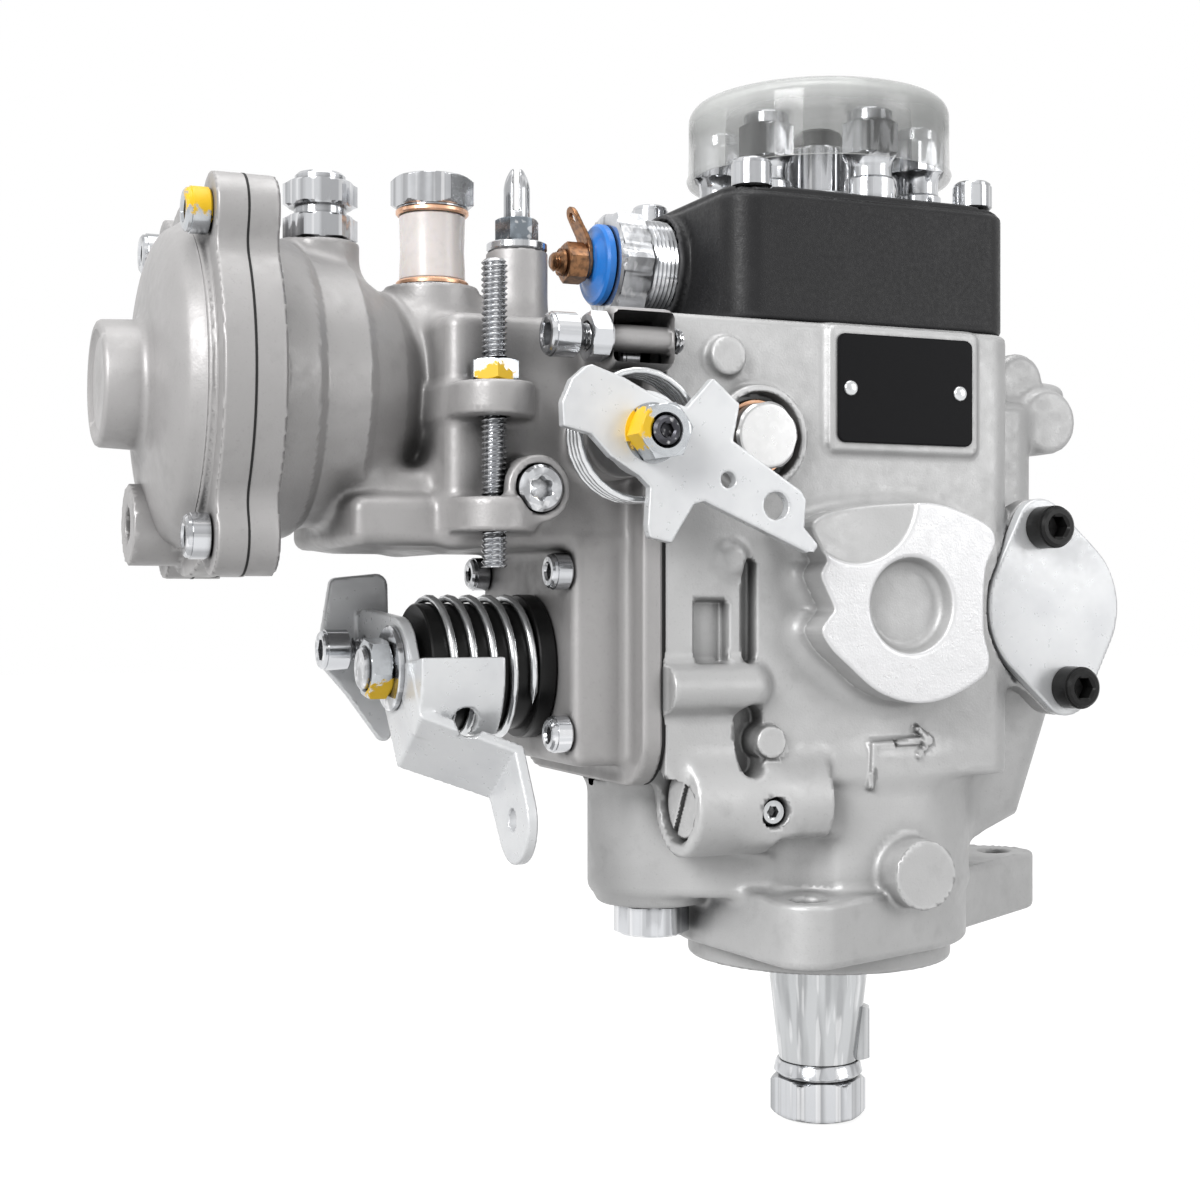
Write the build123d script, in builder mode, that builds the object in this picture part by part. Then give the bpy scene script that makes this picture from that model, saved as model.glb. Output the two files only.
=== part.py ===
from build123d import *
from math import acos, cos, pi, radians, sin, tan
import os

# Distributor injection pump for a six-cylinder diesel engine. Millimetres.
# +Z runs along the drive axis from the mounting flange to the distributor head.
# -X is the governor cover side, +X the timing device side, -Y the control lever side.
# The origin is on the drive axis, on the face of the mounting flange.

# ---- fits ----------------------------------------------------------------------
RUN = 0.05                  # radial running clearance of a shaft in its hole
GAP = 0.30                  # gap between faces that pass each other
DEEP = 200.0                # length of a cut that goes right through
LAP = 1.0                   # how far a solid runs into the one that it joins
ROOT = 8.0                  # how far a boss runs into the wall behind it
HEX_SIDES = 6

# ---- mounting flange and pilot ---------------------------------------------------
FLANGE_T = 16.0
FLANGE_R = 38.0
EAR_R = 9.0
FRONT_EAR = (-25.0, -38.5)
REAR_EAR = (0.0, 50.0)
SIDE_EAR = (65.5, 15.0)
SIDE_EAR_R = 11.0
STUD_HOLE_R = 4.25
NUT_SCOOP_R = 9.5
NUT_SCOOP_H = 14.0
PILOT_R = 34.0
PILOT_H = 5.0
ARCH_X = 1.0
ARCH_Z = 22.0
ARCH_R = 7.5
ARCH_REACH = 47.0

# ---- housing ---------------------------------------------------------------------
DRIVE_END_R = 38.7
BODY_HALF_Y = 38.0
BODY_RIGHT_X = 36.0
BODY_CORNER_R = 9.0
BODY_FLOOR_Z = 43.0
HEAD_SEAT_Z = 152.6
SEAM_X = -62.7
GASKET_T = 0.8
SIDE_BLOCK_X = 62.0
SIDE_WAIST_X = 57.0
SIDE_WAIST_Z = 78.0
SIDE_BLOCK_HALF_Y = 20.0
SIDE_BLOCK_Z = 21.0
SIDE_BLOCK_TOP_Z = 138.0
SIDE_CORNER_R = 10.0
LUG_X = 62.0
LUG_R = 13.0
LUG_T = 18.0
LUG_TOP_Z = 145.0
LUG_HOLE_R = 4.25
BULGE_R = 16.0
BULGE_Z = 11.0
BOSS_X = -3.0
BOSS_Z = 85.0
BOSS_R = 23.0
BOSS_FACE_Y = 50.0
BOSS_POCKET_R = 11.5
BOSS_POCKET_DEPTH = 5.0
BOSS_NOTCH_R = 7.0
PLATE_PAD_X = 1.3
PLATE_PAD_Z = 137.0
PLATE_PAD_W = 42.0
PLATE_PAD_H = 30.0
PLATE_PAD_T = 1.6
INLET_X = -39.0
INLET_Z = 124.4
INLET_BOSS_R = 10.5
INLET_BOSS_T = 4.0
INLET_THREAD_R = 7.0
INLET_DEPTH = 14.0
INLET_HEAD_R = 8.6
INLET_HEAD_T = 1.5
INLET_HEX_AF = 13.0
INLET_HEX_H = 3.5
VALVE_Y = -31.0
VALVE_Z = 38.5
VALVE_BOSS_R = 12.4
VALVE_BOSS_L = 34.0
VALVE_FACE_X = -56.0
VALVE_BORE_R = 9.0
VALVE_BORE_DEPTH = 14.0
VALVE_PLUG_SUNK = 0.8
VALVE_SLOT_W = 2.6
VALVE_SLOT_DEPTH = 1.8
GALLERY_Z = 66.0
GALLERY_R = 5.5
GALLERY_LEFT_X = -60.0
GALLERY_RIGHT_X = -40.0
GALLERY_Y = -38.0
SIDE_SCREW_X = -36.0
SIDE_SCREW_Z = 37.0
SIDE_SCREW_BOSS_R = 6.5
SIDE_SCREW_Y = 41.0
KNOB_X = -39.0
KNOB_Z = 52.0
KNOB_T = 1.0
POCKET = (-54.6, 71.5, -46.0, 86.4)     # left x, low z, right x, top z
GROOVE = (-41.6, 72.4, -38.4, 95.8)
POCKET_DEPTH = 2.0
PIVOT_PAD_X = -47.0
PIVOT_PAD_Z = 143.0
PIVOT_PAD_R = 4.6
PIVOT_PAD_T = 2.0

# ---- chambers --------------------------------------------------------------------
CAM_CHAMBER_R = 34.0
CAM_FLOOR_Z = 44.0
GOVERNOR_X = -48.0          # governor shaft axis
CHAMBER_HALF_Y = 23.0
CHAMBER_TOP_Z = 148.0
CHAMBER_WALL_X = -39.0
LEVER_WINDOW_Z = 98.0
LEVER_WINDOW_HALF_Y = 15.0
GEAR_WINDOW_Z = 77.0
GEAR_WINDOW_HALF_Y = 22.5

# ---- drive shaft -----------------------------------------------------------------
JOURNAL_R = 12.6
CONE_TOP_Z = -12.0
CONE_BOTTOM_Z = -33.0
CONE_BOTTOM_R = 10.2
SHAFT_THREAD_R = 7.0
SHAFT_END_Z = -46.5
SHAFT_NUT_AF = 21.6
SHAFT_NUT_H = 11.5
SHAFT_NUT_END_Z = -47.8
SPRING_WASHER_R = 11.0
KEY_W = 5.0
KEY_Z = -26.0
KEY_R = 7.0
KEY_PROUD = 1.6
KEY_EDGE = 1.5
KEY_ANGLE = -30.0
SEAL_R = 20.0
SEAL_H = 8.5
SEAL_RIM = 2.5
SEAL_DISH = 2.0
BUSH_R = 15.6
BUSH_TOP_Z = 23.0

# ---- feed pump -------------------------------------------------------------------
PUMP_FLOOR_Z = 24.0
PUMP_RING_R = 28.0
PUMP_RING_H = 15.0
PUMP_ROTOR_R = 20.0
PUMP_ECCENTRIC = 2.0
PUMP_BORE_R = 22.5
PUMP_COVER_T = 4.0
VANE_COUNT = 4
VANE_T = 3.0
VANE_DEPTH = 6.0

# ---- governor drive --------------------------------------------------------------
GEAR_MODULE = 2.0
DRIVE_TEETH = 30
GOVERNOR_TEETH = 18
PRESSURE_ANGLE = radians(20)
DEDENDUM = 1.25             # tooth depth under the pitch circle, in modules
GEAR_BACKLASH = 0.35
GEAR_Z = 47.0
GEAR_W = 8.0

# ---- governor --------------------------------------------------------------------
GOVERNOR_SHAFT_R = 4.0
GOVERNOR_SHAFT_TOP_Z = 106.0
GOVERNOR_THREAD_R = 6.0
GOVERNOR_NUT_AF = 17.0
GOVERNOR_NUT_H = 8.0
CAGE_R = 18.5
CAGE_FLOOR_T = 3.0
WEIGHT_COUNT = 4
WEIGHT_PIVOT_R = 15.0
WEIGHT_PIVOT_Z = 63.0
WEIGHT_W = 9.0
WEIGHT_TOP_Z = 75.0
WEIGHT_PIN_R = 1.5
WEIGHT_TOE_R = 6.6
WEIGHT_START = 45.0         # degrees from +X to the first weight
WEIGHT_HUB_R = 2.4
WEIGHT_T = 4.4
WEIGHT_SHIFT = 0.4
WEIGHT_FOOT_H = 2.5
WEIGHT_NECK_W = 4.0
WEIGHT_TOE_T = 2.2
WEIGHT_PIN_END = 2.0
WEIGHT_EAR_W = 5.0
WEIGHT_EAR_T = 2.0
WEIGHT_EAR_TOP = 3.0
SLEEVE_R = 5.5
SLEEVE_FLANGE_R = 8.4
SLEEVE_TOP_Z = 112.0
SLEEVE_NOSE_H = 2.0
SLEEVE_NOSE_R = 2.0
SLEEVE_FLANGE_Z = 64.4
SLEEVE_FLANGE_T = 2.5
LEVER_PIVOT_X = -24.0
LEVER_PIVOT_Z = 118.0
LEVER_T = 2.5
LEVER_W = 14.0
LEVER_END_X = -77.0
LEVER_PIN_R = 3.0
LEVER_HUB_R = 5.5
BALL_X = -12.2
BALL_R = 2.2
BALL_ARM_R = 1.6
GOVERNOR_SPRING_R = 4.0
GOVERNOR_SPRING_WIRE = 1.4
GOVERNOR_SPRING_X = -73.0
GOVERNOR_SPRING_Y = -3.0
CRANK_PIN_R = 2.0
CRANK_PIN_L = 6.0
CRANK_T = 2.0

# ---- roller ring, cam plate and plunger --------------------------------------------
RING_Z = 78.0
RING_H = 13.0
RING_WALL = 15.0
RING_BORE_R = CAM_CHAMBER_R - RING_WALL
ROLLER_COUNT = 3
ROLLER_R = 6.0
ROLLER_Z = 88.0
ROLLER_W = 10.0
ROLLER_INSET = 8.0
ROLLER_MID_R = CAM_CHAMBER_R - ROLLER_INSET
ROLLER_PIN_R = 2.5
ROLLER_PIN_SHORT = 3.0
ROLLER_START = 60.0
CLAW_Z = 84.0
CLAW_H = 8.0
CLAW_W = 8.0
CLAW_IN_R = 9.0
CLAW_OUT_R = 17.0
CLAW_PLATE_T = 5.0
CLAW_COUNT = 4
CAM_BASE_Z = 97.0
CAM_PLATE_T = 7.0
CAM_PLATE_CLEARANCE = 3.0
CAM_PLATE_R = CAM_CHAMBER_R - CAM_PLATE_CLEARANCE
LOBE_COUNT = 6
LOBE_R = 12.0
PLUNGER_R = 6.0
PLUNGER_FOOT_R = 9.0
PLUNGER_FOOT_H = 3.0
PLUNGER_TOP_Z = 176.0
BRIDGE_T = 3.0
BRIDGE_HALF_Y = CAM_PLATE_R
BRIDGE_W = 14.0
PLUNGER_SPRING_INSET = 8.0
PLUNGER_SPRING_Y = BRIDGE_HALF_Y - PLUNGER_SPRING_INSET
PLUNGER_SPRING_R = 6.5
PLUNGER_SPRING_WIRE = 2.5
BRIDGE_RING_W = 3.0
COLLAR_Z = 112.0
COLLAR_H = 12.0
COLLAR_R = 12.4
COLLAR_GROOVE_DEPTH = 2.9

# ---- distributor head --------------------------------------------------------------
HEAD_LEFT_X = -43.5
HEAD_RIGHT_X = 35.5
HEAD_HALF_Y = 36.0
HEAD_H = 31.9
HEAD_CORNER_R = 8.0
HEAD_EDGE_R = 1.5
SPIGOT_H = 6.0
SLEEVE_SPIGOT_R = 14.0
SLEEVE_SPIGOT_Z = 130.0
OUTLET_COUNT = 6
OUTLET_PCR = 25.5
OUTLET_START = 30.0
OUTLET_R = 6.0
OUTLET_DEPTH = 14.0
OUTLET_HEX_AF = 13.5
OUTLET_HEX_Z = 196.4
OUTLET_HEX_H = 7.6
OUTLET_TOP_Z = 211.0
OUTLET_BORE_R = 2.0
OUTLET_CONE_R = 4.3
OUTLET_CONE_H = 4.0
HEAD_PLUG_R = 11.0
HEAD_PLUG_FLANGE_R = 12.5
HEAD_PLUG_FLANGE_H = 6.0
HEAD_PLUG_DEPTH = 7.0
HEAD_PLUG_HEX_AF = 16.0
HEAD_PLUG_TOP_Z = 203.8
BLEED_CAP_R = 6.4
BLEED_CAP_H = 4.8
BLEED_CAP_EDGE = 0.8
CAP_WALL = 1.2
CAP_Z = 195.0
CAP_TOP_Z = 215.0
CAP_ROUND = 4.0
HEAD_SCREW_X = 28.0
HEAD_SCREW_LEFT_X = -35.0
HEAD_SCREW_Y = 29.0
HEAD_SCREW_R = 3.0
HEAD_SCREW_HEAD_R = 4.9
HEAD_SCREW_HEAD_H = 7.0
HEAD_SCREW_BITE = 10.0
HEAD_KEY_AF = 5.0
HEAD_KEY_DEPTH = 3.0

# ---- electric shut-off -------------------------------------------------------------
SHUTOFF_Z = 169.5
SHUTOFF_R = 12.0
SHUTOFF_NECK = 9.5
SHUTOFF_HEX_AF = 24.0
SHUTOFF_HEX_L = 8.5
SHUTOFF_DEPTH = 12.0
SHUTOFF_PLUNGER_R = 4.0
SHUTOFF_ROOM = 16.0
SHUTOFF_PLUNGER_L = 20.0
SHUTOFF_PLUNGER_TAIL = 8.0
INSULATOR_R = 10.0
INSULATOR_L = 4.0
INSULATOR_STEP = 2.0
TERMINAL_R = 2.5
TERMINAL_NUT_AF = 8.0
TERMINAL_NUT_L = 8.0
TERMINAL_TAB_W = 7.0
TERMINAL_TAB_L = 15.0
TERMINAL_TAB_T = 1.0
TERMINAL_END_L = 1.0

# ---- governor cover ----------------------------------------------------------------
COVER_FLANGE_T = 5.0
COVER_FLANGE_LIP = 1.0      # how far the flange stands past the body
COVER_FLANGE_HALF_Y = BODY_HALF_Y + COVER_FLANGE_LIP
COVER_FLANGE_Z = 43.0
COVER_FLANGE_TOP_Z = 151.0
COVER_CORNER_R = 12.0
COVER_WALL = 4.0
BOX_ROOT = 6.0              # how far bosses and the bowl run into the boxes
UPPER_CHAMBER_X = -100.0
UPPER_CHAMBER_WALL = 6.0
COVER_SILL = 3.3
LOWER_BOX_X = -82.0
LOWER_BOX_Z = 48.0
LOWER_BOX_HALF_Y = 31.0
UPPER_BOX_X = -112.0
UPPER_BOX_HALF_Y = 31.0
UPPER_BOX_Z = 98.0
UPPER_BOX_TOP_Z = 151.0
BOX_EDGE_R = 2.5
COVER_SCREWS = (            # y, z and the height of the head's seat above the seam
    (27.5, 55.6, 18.9),
    (27.5, 93.0, 18.9),
    (34.0, 142.0, 5.0),
)
COVER_SCREW_BITE = 11.0
COVER_SCREW_R = 2.5
COVER_SCREW_HEAD_R = 4.2
COVER_SCREW_HEAD_H = 5.0
COVER_SCREW_ROOM = 20.0
COVER_KEY_R = 2.4
COVER_KEY_DEPTH = 2.5

# ---- boost compensator -------------------------------------------------------------
BOOST_Z = 134.5
BOOST_SEAM_X = -157.0
BOOST_FLANGE_T = 6.3
BOOST_R = 42.5
BOOST_SCREW_Y = 27.5
BOOST_SCREW_Z = 34.5
BOOST_EAR_R = 8.5
BOWL_CAVITY_R = 31.0
BOWL_WALL = 5.0
BOWL_R = BOWL_CAVITY_R + BOWL_WALL
BOWL_NECK_R = 14.0
BOWL_RIM = 9.0
BOWL_MID_L = 26.0
BOWL_MID_DROP = 1.0         # how far under the cavity's radius the arc has come by then
BOWL_CAVITY_L = 18.0
BOWL_WELL_R = 15.5
BOWL_WELL_L = 34.0
BOWL_FOOT_X = -134.0
BOWL_FOOT_Z = 109.0
BOWL_FOOT_TOP_Z = 117.0
BOWL_FOOT_INSET = 3.0
BOWL_FOOT_STEP = 6.0
DOME_R = 38.0
DOME_TOP_R = 25.0
DOME_RISE = 9.0
DOME_BOSS_R = 15.0
DOME_BOSS_TAPER = 1.0
DOME_STEP = 2.0
DOME_MID_L = 6.5
DOME_MID_R = 34.0
DOME_CAVITY_L = 5.0
DOME_DISH_R = 11.5
DOME_DISH_L = 1.5
DOME_BOSS_X = -184.0
PORT_Y = 7.0
PORT_Z = 103.5
PORT_R = 9.3
PORT_X = -176.0
PORT_BORE_R = 5.0
PORT_DEPTH = 12.0
BOOST_SCREW_R = 3.0
BOOST_SCREW_HEAD_R = 5.0
BOOST_SCREW_HEAD_H = 5.5
BOOST_KEY_R = 2.6
BOOST_KEY_DEPTH = 3.0
BOOST_STEM_R = 5.0
BOOST_STEM_PROUD = 4.0
BOOST_STEM_END_X = -98.0
DIAPHRAGM_T = 1.0
DIAPHRAGM_PLATE_R = 22.0
DIAPHRAGM_PLATE_T = 2.0
UNION_X = -133.0
UNION_BOSS_R = 9.0
UNION_BOSS_L = 8.0
UNION_BITE = 5.0
UNION_NECK = 2.0
UNION_END = 2.0
UNION_BORE_R = 2.5
UNION_Z = 169.5
UNION_R = 6.0
UNION_AF = 15.0
UNION_HEX_H = 6.0

# ---- return banjo and full-load screw ------------------------------------------------
BANJO_X = -107.0
BANJO_Y = -4.0
BANJO_BOSS_R = 10.75
BANJO_BOSS_Z = 160.0
BANJO_BOLT_R = 5.0
BANJO_BITE = 14.0
BANJO_WASHER_R = 8.6
BANJO_WASHER_T = 1.5
RETURN_SLEEVE_R = 7.8
RETURN_SLEEVE_H = 15.5
RETURN_SLEEVE_WALL = 1.4
BANJO_HEX_AF = 17.0
BANJO_HEX_H = 7.5
FULL_LOAD_X = -86.0
FULL_LOAD_Y = -5.0
FULL_LOAD_BOSS_R = 7.4
FULL_LOAD_BOSS_Z = 170.0
FULL_LOAD_R = 4.0
FULL_LOAD_NUT_AF = 13.0
FULL_LOAD_NUT_H = 7.0
FULL_LOAD_CAP_R = 4.2
FULL_LOAD_TOP_Z = 190.0
FULL_LOAD_TIP_R = 2.2
FULL_LOAD_TIP_H = 3.0
FULL_LOAD_BITE = 24.0

# ---- stop and speed screws -----------------------------------------------------------
SPEED_SCREW_X = -103.0
SPEED_SCREW_OUT = 5.0       # from the box to the screw's axis
SPEED_SCREW_Y = -UPPER_BOX_HALF_Y - SPEED_SCREW_OUT
SPEED_SCREW_R = 3.0
SPEED_SCREW_Z = 93.5
SPEED_SCREW_TOP_Z = 162.0
SPEED_LUG_R = 9.0
SPEED_LUG_T = 7.5
SPEED_LUG_HIGH_Z = 127.0
SPEED_LUG_LOW_Z = 101.5
LOCKNUT_AF = 10.0
LOCKNUT_H = 5.0
STOP_SCREW_OUT = 12.0
STOP_SCREW_Y = -UPPER_BOX_HALF_Y - STOP_SCREW_OUT
STOP_SCREW_Z = 145.0
STOP_SCREW_R = 3.0
STOP_SCREW_X = -93.5
STOP_SCREW_HEAD_R = 5.0
STOP_SCREW_HEAD_L = 7.0
STOP_KEY_AF = 5.0
STOP_KEY_DEPTH = 4.0
STOP_WEB_DOWN = 6.0
STOP_WEB_UP = 5.0
STOP_SCREW_END_X = -60.0
STOP_BOSS_R = 7.0
STOP_BOSS_X = -79.0
IDLE_SCREW_Y = 20.0
IDLE_SCREW_Z = 74.2
IDLE_SCREW_X = -128.0
IDLE_SCREW_END_X = -98.0
IDLE_SCREW_R = 3.0
PIVOT_SCREW_X = -94.5
PIVOT_SCREW_Z = 111.0
PIVOT_SCREW_R = 3.0
PIVOT_SCREW_L = 10.0
BOSS_PROUD = 11.0           # how far the lever side's bosses stand out of the box
PIVOT_BOSS_Y = -UPPER_BOX_HALF_Y - BOSS_PROUD
PIVOT_BOSS_R = 7.5
PIVOT_HEAD_R = 5.2
PIVOT_HEAD_SUNK = 2.5
PIVOT_HEAD_H = 4.0
PIVOT_KEY_R = 2.6

# ---- stop lever ----------------------------------------------------------------------
STOP_X = -74.6
STOP_Z = 122.6
STOP_SHAFT_R = 5.0
STOP_BOSS_SHAFT_R = 9.0
STOP_BOSS_END_Y = -UPPER_BOX_HALF_Y - BOSS_PROUD
STOP_LEVER_OUT = 13.0
STOP_LEVER_Y = STOP_BOSS_END_Y - STOP_LEVER_OUT
STOP_LEVER_T = 3.0
STOP_HUB_R = 9.5
STOP_HUB_T = 2.0
STOP_ARMS = (               # circles (x, z, radius) from the shaft, which each arm wraps
    ((0.0, 0.0, 9.5), (-14.0, 6.5, 7.0)),
    ((0.0, 0.0, 7.5), (16.0, 5.5, 5.0)),
    ((3.0, -5.0, 6.5), (2.7, -19.0, 3.9)),
    ((8.0, -4.0, 7.0), (31.0, -14.5, 6.8), (39.5, -22.5, 2.2)),
)
STOP_HOLES = ((30.5, -15.2, 3.1), (18.5, -9.7, 1.8))
STOP_NUT_AF = 13.0
STOP_NUT_H = 6.0
STOP_SHAFT_OUT = 11.0
STOP_SHAFT_END_Y = STOP_LEVER_Y - STOP_SHAFT_OUT
STOP_CAM_Y = -14.0
STOP_CAM_W = 6.0
STOP_CAM_L = 11.0
STOP_CAM_T = 8.0
STOP_SPRING_R = 15.0
STOP_SPRING_WIRE = 1.6

# ---- speed lever ---------------------------------------------------------------------
SPEED_Y = -5.0
SPEED_Z = 70.5
SPEED_SHAFT_R = 5.0
SPEED_SHAFT_END_X = -125.0
SPEED_BOSS_R = 9.0
SPEED_BOSS_X = -92.0
SPEED_LEVER_X = -115.5
SPEED_LEVER_T = 2.6
SPEED_HUB_R = 12.0
SPEED_NUT_AF = 13.0
SPEED_NUT_H = 5.5
SPEED_WASHER_R = 10.0
SPEED_WASHER_T = 1.6
SPEED_SPRING_R = 17.3
SPEED_SPRING_WIRE = 2.6
SPEED_TIP_Y = -29.0
SPEED_TIP_Z = 36.5
SPEED_TIP_X = -95.0
SPEED_TIP_R = 10.0
SPEED_SLOT_R = 2.6
SWEEP_ROOM = 10.0           # room past the lever at either side for a cut through it
IDLE_PLATE_RISE = 3.0
SPEED_BEND_START = 19.56    # along the arm from the shaft to the strip's two bends
SPEED_BEND_END = 29.13
WING = ((-124.0, 90.0), (-127.0, 68.0), (-121.0, 60.0), (-110.0, 50.0), (-112.0, 90.0))
WING_CORNER_R = 3.0
WING_Y = 28.0
SADDLE_R = 20.5
SADDLE_START = 172.0
SADDLE_SWEEP = 52.0
SADDLE_L = 20.0
IDLE_HOLE_X = -105.5
IDLE_HOLE_Z = 58.8
IDLE_HOLE_R = 3.3
SPEED_PIN_OFFSET = 6.0

# ---- timing device -------------------------------------------------------------------
TIMING_X = 46.5
TIMING_Z = 84.5
TIMING_R = 21.0
TIMING_FACE_Y = 35.0
TIMING_BORE_R = 11.0
TIMING_TILT = 11.0
TIMING_SCREW_REACH = 20.5
TIMING_EAR_R = 7.3
TIMING_EAR_T = 6.0
TIMING_WAIST_R = 19.8
TIMING_COVER_T = 3.2
TIMING_SCREW_R = 3.0
TIMING_CAP_R = 5.3
TIMING_CAP_H = 7.0
PISTON_L = 44.0
PISTON_START_Y = -4.0
TIMING_STROKE = 9.0
PIN_BLOCK_R = 6.0
PIN_PLAY = 0.15             # clearance of the ring's pin in the piston
PIN_BLOCK_END = 1.0
PISTON_WALL = 4.0
PISTON_POCKET_L = 8.0
TIMING_SLOT_LAP = 5.0
TIMING_SLOT_HALF_Y = 8.0
TIMING_SLOT_ROOM = 2.0
TIMING_SCREW_BITE = 11.0
TIMING_SPRING_WIRE = 2.4
TIMING_PIN_R = 3.5
TIMING_SPRING_R = 7.0

# ---- trim ----------------------------------------------------------------------------
NAMEPLATE_W = 38.0
NAMEPLATE_H = 26.0
NAMEPLATE_T = 0.8
RIVET_R = 1.4
RIVET_SPREAD = 30.0
RIVET_H = 0.6
RIVET_DROP = 3.0
NAMEPLATE_CORNER_R = 2.0

BASE = (Align.CENTER, Align.CENTER, Align.MIN)
UP = (0, 0, 1)
DOWN = (0, 0, -1)
LEFT = (-1, 0, 0)
RIGHT = (1, 0, 0)
FRONT = (0, -1, 0)
BACK = (0, 1, 0)


# ---- forms that repeat ----------------------------------------------------------------
def facing(x, y, z, direction):
    """Plane through a point, with its normal along one direction."""
    return Plane(origin=(x, y, z), z_dir=direction)


def rod(plane, radius, length, mode=Mode.ADD):
    """Round bar that stands on a plane."""
    with Locations(plane):
        Cylinder(radius, length, align=BASE, mode=mode)


def cone(plane, radius, top_radius, length, mode=Mode.ADD):
    """Tapered round bar that stands on a plane."""
    with Locations(plane):
        Cone(radius, top_radius, length, align=BASE, mode=mode)


def hex_bar(plane, across_flats, length, mode=Mode.ADD):
    """Hexagonal bar that stands on a plane."""
    with BuildSketch(plane) as section:
        RegularPolygon(across_flats / 2, HEX_SIDES, major_radius=False)
    extrude(section.sketch, amount=length, mode=mode)


def web(plane, circles, length, mode=Mode.ADD):
    """Plate whose outline wraps round circles given as (x, y, radius) on a plane."""
    with BuildSketch(plane) as section:
        for x, y, radius in circles:
            with Locations((x, y)):
                Circle(radius)
        make_hull()
    extrude(section.sketch, amount=length, mode=mode)


def block(low, high, mode=Mode.ADD):
    """Rectangular block between two corners."""
    size = [b - a for a, b in zip(low, high)]
    with Locations(tuple(low)):
        Box(*size, align=(Align.MIN,) * 3, mode=mode)


def pillar(low, high, radius, mode=Mode.ADD):
    """Block between two corners, with its upright edges rounded."""
    with BuildSketch(Plane.XY.offset(low[2])) as section:
        with Locations(((low[0] + high[0]) / 2, (low[1] + high[1]) / 2)):
            RectangleRounded(high[0] - low[0], high[1] - low[1], radius)
    extrude(section.sketch, amount=high[2] - low[2], mode=mode)


def cushion(low, high, radius, mode=Mode.ADD):
    """Block between two corners, with its edges along X rounded."""
    plane = Plane(origin=(low[0], 0, 0), x_dir=(0, 1, 0), z_dir=RIGHT)
    with BuildSketch(plane) as section:
        with Locations(((low[1] + high[1]) / 2, (low[2] + high[2]) / 2)):
            RectangleRounded(high[1] - low[1], high[2] - low[2], radius)
    extrude(section.sketch, amount=high[0] - low[0], mode=mode)


def involute(angle):
    return tan(angle) - angle


def gear(teeth, plane, width):
    """Spur gear with involute flanks. One tooth points along the plane's x axis."""
    pitch_r = GEAR_MODULE * teeth / 2
    base_r = pitch_r * cos(PRESSURE_ANGLE)
    root_r = pitch_r - DEDENDUM * GEAR_MODULE
    flank = []
    for radius in (max(base_r, root_r), pitch_r, pitch_r + GEAR_MODULE):
        slope = acos(min(1, base_r / radius))
        half = pi / (2 * teeth) + involute(PRESSURE_ANGLE) - involute(slope)
        half -= GEAR_BACKLASH / (2 * radius)
        flank.append((radius * cos(half), radius * sin(half)))
    foot = (root_r - GAP, flank[0][1])
    upper = [foot] + flank
    outline = upper + [(x, -y) for x, y in reversed(upper)]
    with BuildSketch(plane) as section:
        Circle(root_r)
        with PolarLocations(0, teeth):
            Polygon(*outline, align=None)
    extrude(section.sketch, amount=width)


def weight_plane(number):
    """Plane across one flyweight, with its origin on the pin and its x axis outwards."""
    turn = radians(WEIGHT_START + 360 / WEIGHT_COUNT * number)
    pin = (GOVERNOR_X + WEIGHT_PIVOT_R * cos(turn), WEIGHT_PIVOT_R * sin(turn), WEIGHT_PIVOT_Z)
    return Plane(origin=pin, x_dir=(cos(turn), sin(turn), 0), z_dir=(sin(turn), -cos(turn), 0))


def keep(builder, name):
    """Labels a finished piece and writes it."""
    builder.part.label = name
    export_step(builder.part, f"parts/{name}.step")


os.makedirs("parts", exist_ok=True)

# ---- places worked out from the sizes above ---------------------------------------------
HOUSING_FACE_X = SEAM_X + GASKET_T / 2
COVER_FACE_X = SEAM_X - GASKET_T / 2
HEAD_TOP_Z = HEAD_SEAT_Z + HEAD_H
TIMING_TOP = (
    TIMING_X - TIMING_SCREW_REACH * sin(radians(TIMING_TILT)),
    TIMING_Z + TIMING_SCREW_REACH * cos(radians(TIMING_TILT)),
)
TIMING_LOW = (2 * TIMING_X - TIMING_TOP[0], 2 * TIMING_Z - TIMING_TOP[1])
TIMING_OUTLINE = [
    (TIMING_X, TIMING_Z, TIMING_WAIST_R),
    (TIMING_TOP[0], TIMING_TOP[1], TIMING_EAR_R),
    (TIMING_LOW[0], TIMING_LOW[1], TIMING_EAR_R),
]
XZ_FRONT = Plane(origin=(0, 0, 0), x_dir=(1, 0, 0), z_dir=FRONT)
PUMP_COVER_Z = PUMP_FLOOR_Z + PUMP_RING_H
CAGE_Z = GEAR_Z + GEAR_W
EAR_CENTRES = (FRONT_EAR, REAR_EAR, SIDE_EAR)
COVER_SCREW_PLACES = [(side * y, z, seat) for y, z, seat in COVER_SCREWS for side in (-1, 1)]

BOOST_DIAGONALS = [
    [(side * sign * BOOST_SCREW_Y, sign * BOOST_SCREW_Z, BOOST_EAR_R) for sign in (-1, 1)]
    for side in (-1, 1)
]

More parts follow.
